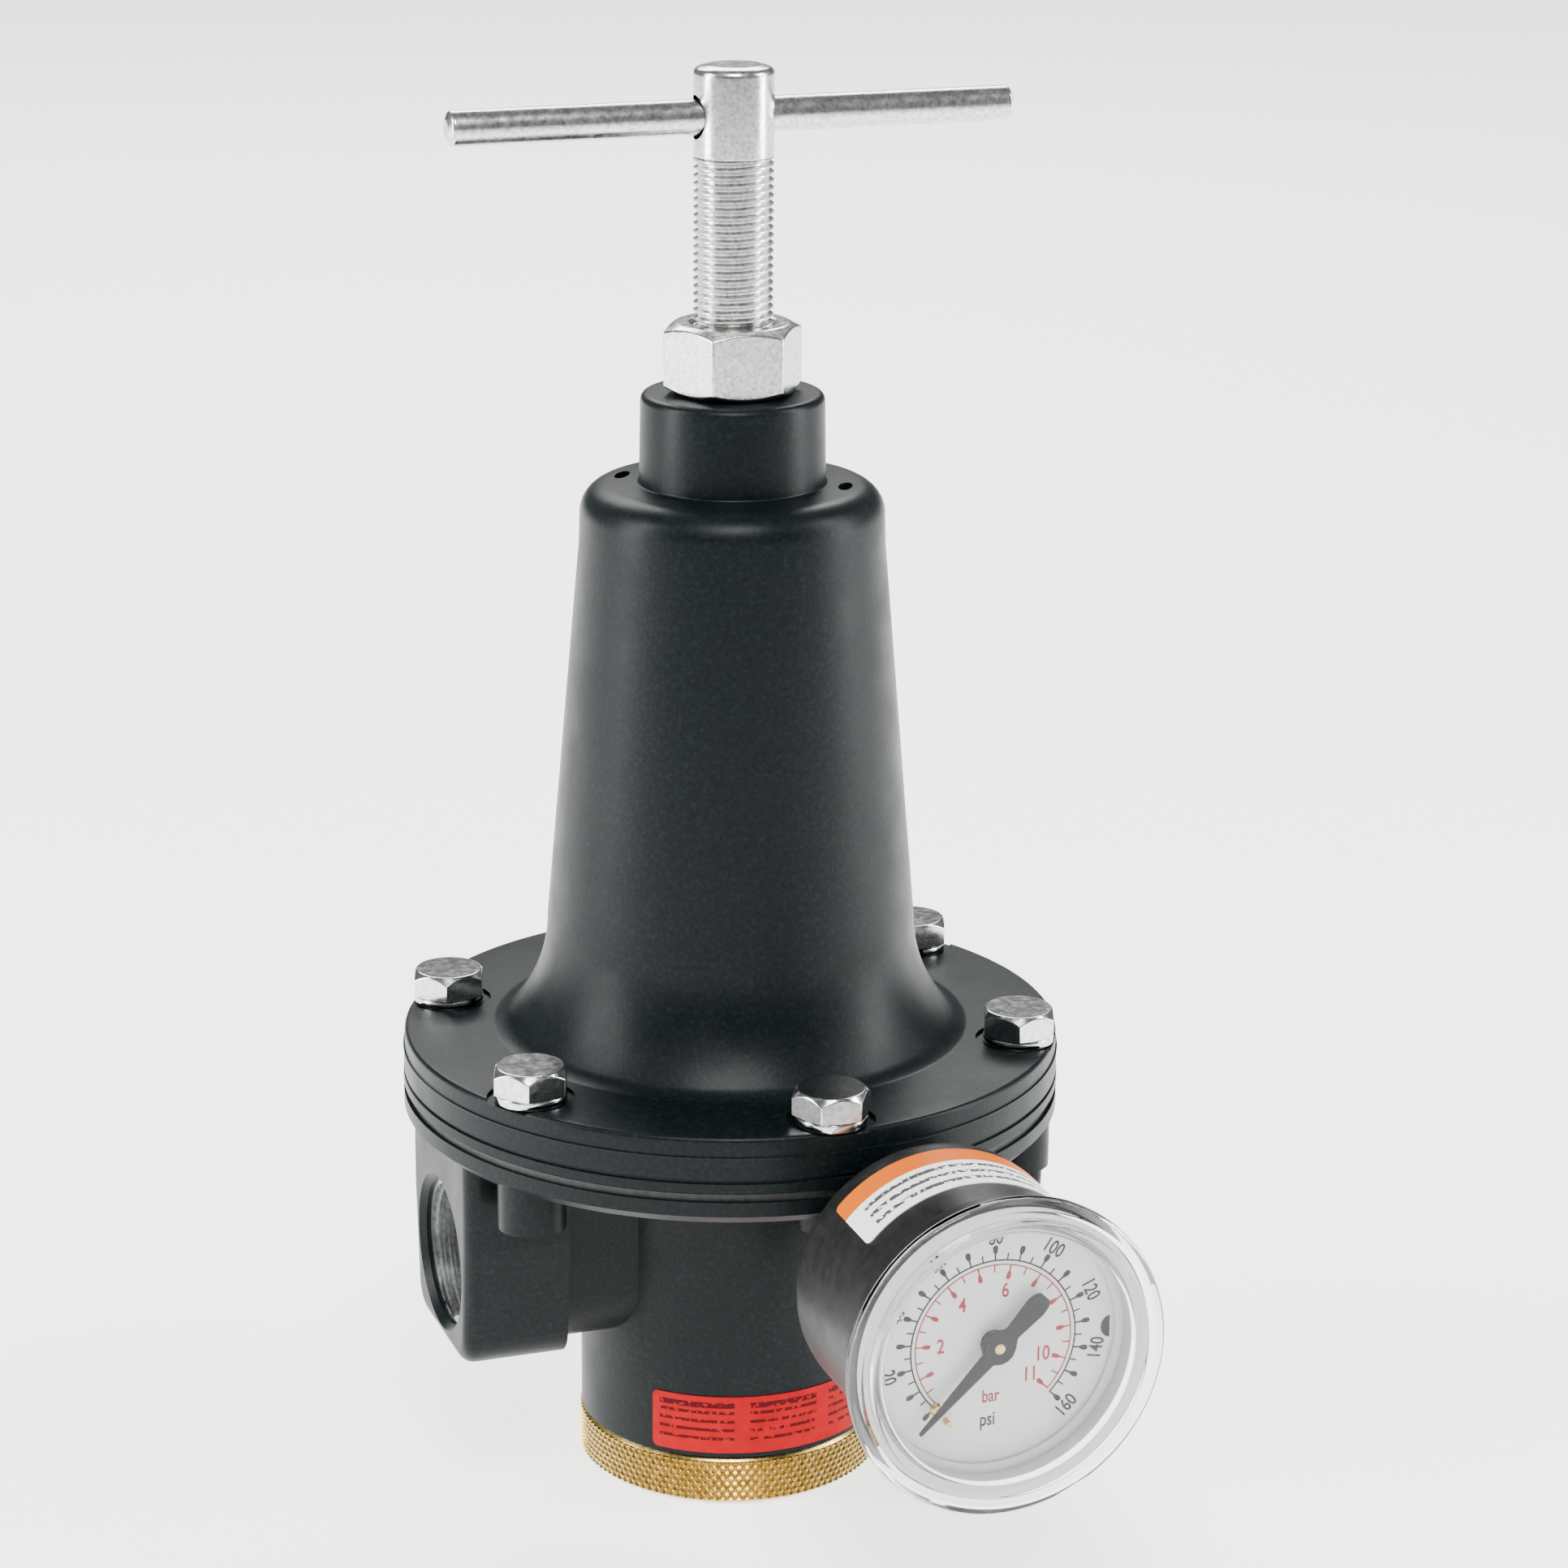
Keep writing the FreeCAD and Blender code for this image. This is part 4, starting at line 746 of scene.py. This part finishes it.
def adjusting_screw():
    """Rolled thread up to a plain drilled head with a domed end."""
    radius, low, high = SCREW_HIGH.x, SCREW_LOW.z, SCREW_HIGH.z
    crest = radius - 0.056
    root = crest - 0.85
    core = root + 0.02
    tip = 4.0
    shoulder = SCREW_THREAD_FOOT - 0.6
    foot = SCREW_HEAD_FOOT
    thread = helix(root, crest, SCREW_PITCH, SCREW_THREAD_FOOT, foot - 0.2, per_turn=80)
    stem = lathe(rounded([
        (0, low), (tip, low, 1.6), (tip, shoulder), (root - 0.1, shoulder, 0.6),
        (core, shoulder + 1.4), (core, foot - 0.9), (core, foot - 0.5), (0, foot - 0.5),
    ]), 96)
    head = lathe(rounded([
        (0, foot - 0.6), (6.6, foot - 0.6, 0.2), (radius, foot + 0.1, 0.3),
        (radius, high - 0.6, 1.6), (5.0, high, 1.2), (0, high),
    ], 8), 160)
    for part in (thread, stem, head):
        bmesh.ops.recalc_face_normals(part, faces=part.faces)
    lift = Matrix.Translation((0, 0, BAR_HEIGHT * MM))
    hole = drum(BAR_RADIUS + 0.12, -12, 12, matrix=lift @ ALONG_X, segments=64)
    countersinks = []
    for quarter in (math.pi / 2, -math.pi / 2):
        cone = lathe([(0, 6.0), (BAR_RADIUS, 6.0), (BAR_RADIUS + 1.1, 7.8), (0, 7.8)], 64)
        bmesh.ops.recalc_face_normals(cone, faces=cone.faces)
        side = Matrix.Rotation(quarter, 4, "Y")
        bmesh.ops.transform(cone, matrix=lift @ side, verts=cone.verts)
        countersinks.append(cone)
    head = carve(head, [hole, *countersinks])
    piece("screw_and_thread", merge(head, stem, thread), "zinc_plate", "screw",
          ["adjusting_screw"], sharp=38, facing=False)


def tee_bar():
    """Plain round bar through the screw's head, its ends rounded."""
    half = BAR_HIGH.x
    end = 1.6
    bar = lathe(rounded([
        (0, -half), (end, -half, 0.3), (BAR_RADIUS, -half + 0.7, 0.7),
        (BAR_RADIUS, half - 0.7, 0.7), (end, half, 0.3), (0, half),
    ], 6), 96)
    piece("tee_handle", bar, "zinc_plate", "screw", ["tee_bar"],
          matrix=Matrix.Translation((0, 0, BAR_HEIGHT * MM)) @ ALONG_X)


def soften_edges(thing, width_mm):
    """A small rolled edge on every sharp corner."""
    change = thing.modifiers.new("edges", "BEVEL")
    change.width = width_mm * MM
    change.segments = 3
    change.limit_method = "ANGLE"
    change.angle_limit = math.radians(24)
    change.use_clamp_overlap = True
    change.harden_normals = False


def lock_nut():
    """Plain plated nut, chamfered on both faces."""
    chamfer, bore = (0.455, 0.55), 7.2
    nut = hexagon(NUT_FLATS, NUT_LOW.z, NUT_HIGH.z, chamfer, chamfer, bore, NUT_TURN)
    made = piece("plated_nut", nut, "zinc_plate", "lock_nut", ["lock_nut"], sharp=24)
    soften_edges(made, 0.28)


def flange_screws():
    """Six plated hexagon screws, their heads chamfered by a cone."""
    low, foot, high = BOLTS_LOW.z, WASHER_HIGH.z, BOLTS_HIGH.z
    whole = bmesh.new()
    for angle, turn in zip(BOLT_ANGLES, BOLT_TURNS):
        screw = hexagon(BOLT_FLATS, foot, high, (0.475, 1.05), (0.49, 0.2), 0.0, turn)
        shank = lathe(rounded([
            (0, low), (BOLT_RADIUS - 0.75, low, 0.3), (BOLT_RADIUS, low + 1.0, 0.3),
            (BOLT_RADIUS, foot + 0.2), (0, foot + 0.2),
        ], 4), 64)
        screw = merge(screw, shank)
        bmesh.ops.translate(screw, vec=turn_point(BOLT_CIRCLE, angle) * MM, verts=screw.verts)
        whole = merge(whole, screw)
    made = piece("plated_screws", whole, "bright_plate", "regulator", ["flange_screws"], sharp=24)
    soften_edges(made, 0.16)


def lock_washers():
    """Split spring washers: a square wire ring with its two ends a little apart in height."""
    whole = bmesh.new()
    inner, outer = BOLT_RADIUS + 0.35, WASHER_HIGH.y - BOLT_CIRCLE
    rise, gap = 0.2, 10.0
    thick = WASHER_HIGH.z - WASHER_SEAT - rise
    section = rounded([(inner, 0.0, 0.2), (outer, 0.0, 0.3), (outer, thick, 0.3),
                       (inner, thick, 0.2)], 3)
    steps = 72
    for number, angle in enumerate(BOLT_ANGLES):
        gap_at = -95.0 + 17.0 * number
        rows = []
        ring = bmesh.new()
        for step in range(steps + 1):
            share = step / steps
            turn = gap_at + gap / 2 + (360.0 - gap) * share
            rows.append([ring.verts.new(turn_point(across, turn, up + rise * share) * MM)
                         for across, up in section])
        for here, after in zip(rows, rows[1:]):
            for k in range(len(section)):
                nxt = (k + 1) % len(section)
                ring.faces.new((here[k], after[k], after[nxt], here[nxt]))
        ring.faces.new(rows[0])
        ring.faces.new(rows[-1][::-1])
        centre = turn_point(BOLT_CIRCLE, angle, WASHER_SEAT)
        bmesh.ops.translate(ring, vec=centre * MM, verts=ring.verts)
        whole = merge(whole, ring)
    piece("spring_washers", whole, "bright_plate", "regulator", ["lock_washers"])


# ---------------------------------------------------------------- ports


def port_threads():
    """Tapered pipe threads cut in the two side ports."""
    taper = 1 / 32
    for side, name in ((1, "outlet"), (-1, "inlet")):
        skin = helix(PORT_RADIUS - 0.02, PORT_RADIUS - 1.0, PIPE_PITCH, 2.0, 20.0, taper, 96)
        for face in skin.faces:
            face.normal_flip()
        inward = Matrix.Rotation(-side * math.pi / 2, 4, "Y")
        place = Matrix.Translation((side * PORT_REACH * MM, 0, PORT_HEIGHT * MM)) @ inward
        piece(name + "_pipe_thread", skin, "black_coat", "regulator", matrix=place,
              facing=False, finish=CUT_METAL)


# ---------------------------------------------------------------- gauge


def gauge_case():
    """Moulded case with a rounded back edge and a shoulder under the lens."""
    back, front = CASE_BACK, CASE_FRONT
    ledge = DIAL_FRONT - 0.5
    socket_bore = 6.4
    case = lathe(rounded([
        (socket_bore, back), (CASE_RADIUS, back, 5.0), (CASE_RADIUS, front - 6.6, 0.6),
        (25.6, front - 5.4, 0.5), (26.6, front - 5.0, 0.4), (26.6, front, 0.3),
        (CASE_BORE, front), (CASE_BORE, ledge), (22.4, ledge), (22.4, ledge - 2.5),
        (23.4, ledge - 4.5), (23.4, back + 3.5, 2.0), (21.4, back + 1.5, 1.0),
        (socket_bore, back + 1.5),
    ], 8), 192)
    piece("moulded_case", case, "gauge_black", "regulator", ["gauge_case"], matrix=ON_GAUGE)


def pale_liner():
    """Thin pale ring that lines the case above the dial and covers its front edge."""
    inner, outer, edge = CASE_BORE - 0.07, CASE_BORE - 0.02, 26.3
    foot, low, high = DIAL_FRONT - 0.3, CASE_FRONT + 0.03, CASE_FRONT + 0.1
    liner = lathe([(inner, foot), (outer, foot), (outer, low), (edge, low), (edge, high),
                   (inner, high)], 128)
    piece("pale_liner", liner, "dial_white", "regulator", matrix=ON_GAUGE, finish=PALE_SEAL)


def gauge_lens():
    """Clear press-on lens: a rim that overhangs the case and a raised, stepped window."""
    back, front, skirt = CASE_FRONT + 0.2, LENS_FRONT, LENS_BACK
    plate, step = front - 1.8, front - 1.5
    outer = CASE_BORE - 0.1
    rim = LENS_RADIUS
    lens = lathe(rounded([
        (0, plate), (outer - 0.7, plate, 0.6), (outer - 0.5, skirt, 0.1), (outer, skirt, 0.1),
        (outer, back, 0.2), (rim - 1.2, back, 0.2), (rim, back + 1.0, 0.5),
        (rim, front - 1.9, 0.9), (27.0, front - 1.15, 0.4), (26.4, step, 0.3),
        (25.6, step, 0.25), (25.2, front, 0.6), (0, front),
    ], 6), 224)
    piece("clear_window", lens, "clear_lens", "regulator", ["gauge_lens"], matrix=ON_GAUGE,
          sharp=40)


def pointer():
    """Needle with a broad tail and round hub."""
    level = POINTER_FRONT - 0.3
    thickness = 0.6
    side = [(20.0, 0.22), (16.0, 0.5), (NEEDLE_HUB * 0.95, 1.35)]
    waist = [turn_point(NEEDLE_HUB, angle)[:2] for angle in range(25, 126, 25)]
    tail = [(-3.4, 1.35), (-9.4, 2.0), (-10.9, 1.75), (-11.8, 1.0)]
    upper = side + waist + tail
    outline = upper + [(across, -along) for across, along in reversed(upper)]
    needle = bmesh.new()
    flat_shape(needle, outline, level - thickness, level)
    bore, boss, cap = 0.95, 1.5, NEEDLE_HUB - 0.2
    hub = lathe(rounded([
        (bore, level - 1.8), (boss, level - 1.8), (boss, level - 0.5), (cap, level - 0.3),
        (cap, level + 0.3, 0.2), (bore, level + 0.3),
    ]), 64)
    spin = Matrix.Rotation(math.radians(SCALE_START), 4, "Z")
    piece("needle", merge(needle, hub), "pointer_black", "pointer", ["gauge_pointer"],
          matrix=ON_GAUGE @ spin)


def ring_print(bm, radius, width, low, high, steps=120):
    """A printed arc along the whole scale."""
    edges = []
    for offset in (-width / 2, width / 2):
        edges.append([turn_point(radius + offset, SCALE_START - SCALE_SWEEP * i / steps)[:2]
                      for i in range(steps + 1)])
    for i in range(steps):
        flat_shape(bm, [edges[0][i], edges[0][i + 1], edges[1][i + 1], edges[1][i]], low, high)


def mark_print(bm, angle, start, length, width, drop, low, high):
    """A scale mark along a radius; a drop mark widens into a rounded blob at its far end."""
    way = 1 if length > 0 else -1
    reach = abs(length)
    half = width / 2
    if drop:
        blob = drop / 2
        shape = [(0, half), (reach * 0.42, half), (reach * 0.60, blob * 0.9), (reach * 0.80, blob),
                 (reach * 0.95, blob * 0.8), (reach, blob * 0.3)]
    else:
        shape = [(0, half), (reach, half)]
    outline = shape + [(x, -y) for x, y in reversed(shape)]
    spin = Matrix.Rotation(math.radians(angle), 2)
    flat_shape(bm, [spin @ Vector((start + way * x, way * y)) for x, y in outline], low, high)


def text_print(bm, words, at, height, squeeze, turn, level):
    """Words or a number on the dial, centred on a point; squeeze narrows the letters."""
    capital = 0.69
    curve = bpy.data.curves.new("words", "FONT")
    curve.body = words
    curve.align_x = "CENTER"
    curve.offset = 0.015
    source = bpy.data.objects.new("words", curve)
    bpy.context.scene.collection.objects.link(source)
    graph = bpy.context.evaluated_depsgraph_get()
    mesh = bpy.data.meshes.new_from_object(source.evaluated_get(graph))
    grow = height / capital
    shift = Matrix.Translation((0, -capital / 2, 0))
    scale = Matrix.Diagonal((grow * squeeze, grow, 1, 1))
    spin = Matrix.Rotation(math.radians(turn), 4, "Z")
    move = Matrix.Translation((at[0], at[1], level))
    mesh.transform(Matrix.Scale(MM, 4) @ move @ spin @ scale @ shift)
    bm.from_mesh(mesh)
    bpy.data.objects.remove(source)
    bpy.data.meshes.remove(mesh)


def dial_screw_heads():
    """A bare brass head by the start of the scale; the opposite one is sunk and painted over."""
    shank, head = 0.8, 1.25
    bare = lathe(rounded([
        (0, -1.0), (shank, -1.0), (shank, 0.0), (head, 0.0), (head, 0.35, 0.1),
        (0.85, 0.65, 0.2), (0, 0.65),
    ], 4), 40)
    sunk = lathe([(0, -0.9), (shank, -0.9), (shank, 0.0), (1.0, 0.0), (1.0, 0.01), (0, 0.01)], 40)
    for screw, angle in ((bare, 227.0), (sunk, 47.0)):
        centre = turn_point(DIAL_SCREW_CIRCLE, angle, DIAL_FRONT)
        bmesh.ops.translate(screw, vec=centre * MM, verts=screw.verts)
    piece("dial_screw_head", bare, "brass", "regulator", ["dial_screws"], matrix=ON_GAUGE)
    piece("painted_screw", sunk, "dial_white", "regulator", matrix=ON_GAUGE)


def pounds_scale(low, high):
    """Black print: the outer scale, its numbers and unit, and a notch at the right edge."""
    full, radius, number_radius = 160, 15.13, 19.4
    black = bmesh.new()
    ring_print(black, radius, 0.28, low, high)
    for pounds in range(0, full + 1, 5):
        angle = SCALE_START - SCALE_SWEEP * pounds / full
        if pounds % 10 == 0:
            mark_print(black, angle, radius, 2.75, 0.30, 0.95, low, high)
        else:
            mark_print(black, angle, radius, 1.3, 0.26, 0, low, high)
        if pounds and pounds % 20 == 0:
            lean = angle - 90 if math.sin(math.radians(angle)) > 0 else angle + 90
            place = turn_point(number_radius, angle)[:2]
            text_print(black, str(pounds), place, 2.5, 0.76, lean, high)
    text_print(black, "psi", (-0.8, -14.1), 2.5, 0.72, 0, high)
    half_notch = [(21.6, 2.1), (20.8, 1.8), (20.1, 1.0)]
    notch = half_notch + [(19.9, 0.0)] + [(x, -y) for x, y in reversed(half_notch)]
    flat_shape(black, notch, low, high)
    return black


def bar_scale(low, high):
    """Red print: the inner scale, with a mark each half bar, its numbers and unit."""
    full, radius, number_radius = 11.03, 14.3, 9.7
    red = bmesh.new()
    ring_print(red, radius, 0.22, low, high)
    for half_bars in range(1, 23):
        angle = SCALE_START - SCALE_SWEEP * half_bars / 2 / full
        if half_bars % 2:
            mark_print(red, angle, radius, -1.4, 0.24, 0, low, high)
        else:
            mark_print(red, angle, radius, -2.7, 0.26, 0.85, low, high)
        if half_bars in (4, 8, 12, 16, 20, 22):
            place = turn_point(number_radius, angle)[:2]
            text_print(red, str(half_bars // 2), place, 2.6, 0.76, 0, high)
    text_print(red, "bar", (-0.3, -9.8), 2.3, 0.74, 0, high)
    return red


def dial_printing():
    """Two scales on the dial: pounds outside in black and bar inside in red."""
    low, high = DIAL_FRONT, DIAL_FRONT + PRINT_HEIGHT
    piece("black_print", pounds_scale(low, high), "dial_white", "regulator", matrix=ON_GAUGE,
          facing=False, finish=BLACK_INK)
    piece("red_print", bar_scale(low, high), "dial_white", "regulator", matrix=ON_GAUGE,
          facing=False, finish=RED_INK)


# ---------------------------------------------------------------- stage


def floor():
    """Pale paper with a painted glow: its own emission is brightest behind the object, along the
    line of sight.
    """
    bm = bmesh.new()
    bmesh.ops.create_grid(bm, x_segments=8, y_segments=8, size=6.0)
    ground = plain_object("floor", bm)
    made = Finish("glowing_floor_paper", (0.86, 0.86, 0.855), 0.9)
    made.colours(made.noise(900.0, 2.0), [(0.3, (0.85, 0.85, 0.845)), (0.7, (0.87, 0.87, 0.865))])
    # painted glow: the paper emits light itself, dim in front of the object and bright behind it
    made.shader.inputs["Emission Color"].default_value = (1.0, 1.0, 0.995, 1.0)
    split = made.add("ShaderNodeSeparateXYZ", [("Vector", made.where)])
    sight = math.radians(VIEW_TURN)
    beyond = made.sum("ADD", made.sum("MULTIPLY", split.outputs["X"], math.sin(sight)),
                      made.sum("MULTIPLY", split.outputs["Y"], math.cos(sight)))
    glow = made.add("ShaderNodeMapRange", [("Value", beyond)], To_Min=0.8, To_Max=2.0)
    glow.inputs["From Min"].default_value = -0.50
    glow.inputs["From Max"].default_value = -0.16
    made.tree.links.new(glow.outputs["Result"], made.shader.inputs["Emission Strength"])
    ground.data.materials.append(made.material)


def light(name, at, size, power):
    """A white area light that faces the middle of the object."""
    lamp = bpy.data.lights.new(name, "AREA")
    lamp.shape = "RECTANGLE"
    lamp.size, lamp.size_y = size
    lamp.energy = power
    holder = bpy.data.objects.new(name, lamp)
    holder.location = at
    facing = Vector((0.0, 0.0, 0.12)) - Vector(at)
    holder.rotation_euler = facing.to_track_quat("-Z", "Y").to_euler()
    bpy.context.scene.collection.objects.link(holder)


def studio():
    """Pale room, a soft light above the front, a strip down each side and one high behind."""
    world = bpy.data.worlds.new("studio")
    world.use_nodes = True
    room = world.node_tree.nodes["Background"]
    room.inputs["Color"].default_value = (0.97, 0.985, 1.0, 1.0)
    room.inputs["Strength"].default_value = 0.24
    bpy.context.scene.world = world
    light("overhead", (-0.25, -0.75, 1.2), (0.5, 0.4), 24.0)
    light("left_strip", (-1.1, 0.15, 0.4), (0.3, 1.2), 26.0)
    light("right_strip", (1.0, -0.35, 0.45), (0.3, 1.2), 22.0)
    light("back_top", (0.3, 1.5, 1.4), (1.6, 0.8), 45.0)


def camera():
    """A long lens, turned to the inlet side and looking down on the flange."""
    lens = bpy.data.cameras.new("view")
    lens.sensor_width = 36.0
    lens.lens = 98.9
    lens.shift_x = 0.0336
    lens.shift_y = 0.0034
    lens.clip_start = 0.05
    lens.clip_end = 30.0
    holder = bpy.data.objects.new("view", lens)
    turn = Matrix.Rotation(math.radians(-VIEW_TURN), 4, "Z")
    tilt = Matrix.Rotation(math.radians(90 - VIEW_TILT), 4, "X")
    roll = Matrix.Rotation(math.radians(VIEW_ROLL), 4, "Z")
    holder.matrix_world = Matrix.Translation(VIEW_FROM) @ turn @ tilt @ roll
    bpy.context.scene.collection.objects.link(holder)
    bpy.context.scene.camera = holder


dress_frame()
bottom_cap()
bonnet()
adjusting_screw()
tee_bar()
lock_nut()
flange_screws()
lock_washers()
port_threads()
gauge_case()
pale_liner()
gauge_lens()
pointer()
dial_screw_heads()
dial_printing()
floor()
studio()
camera()

bpy.context.view_layer.update()
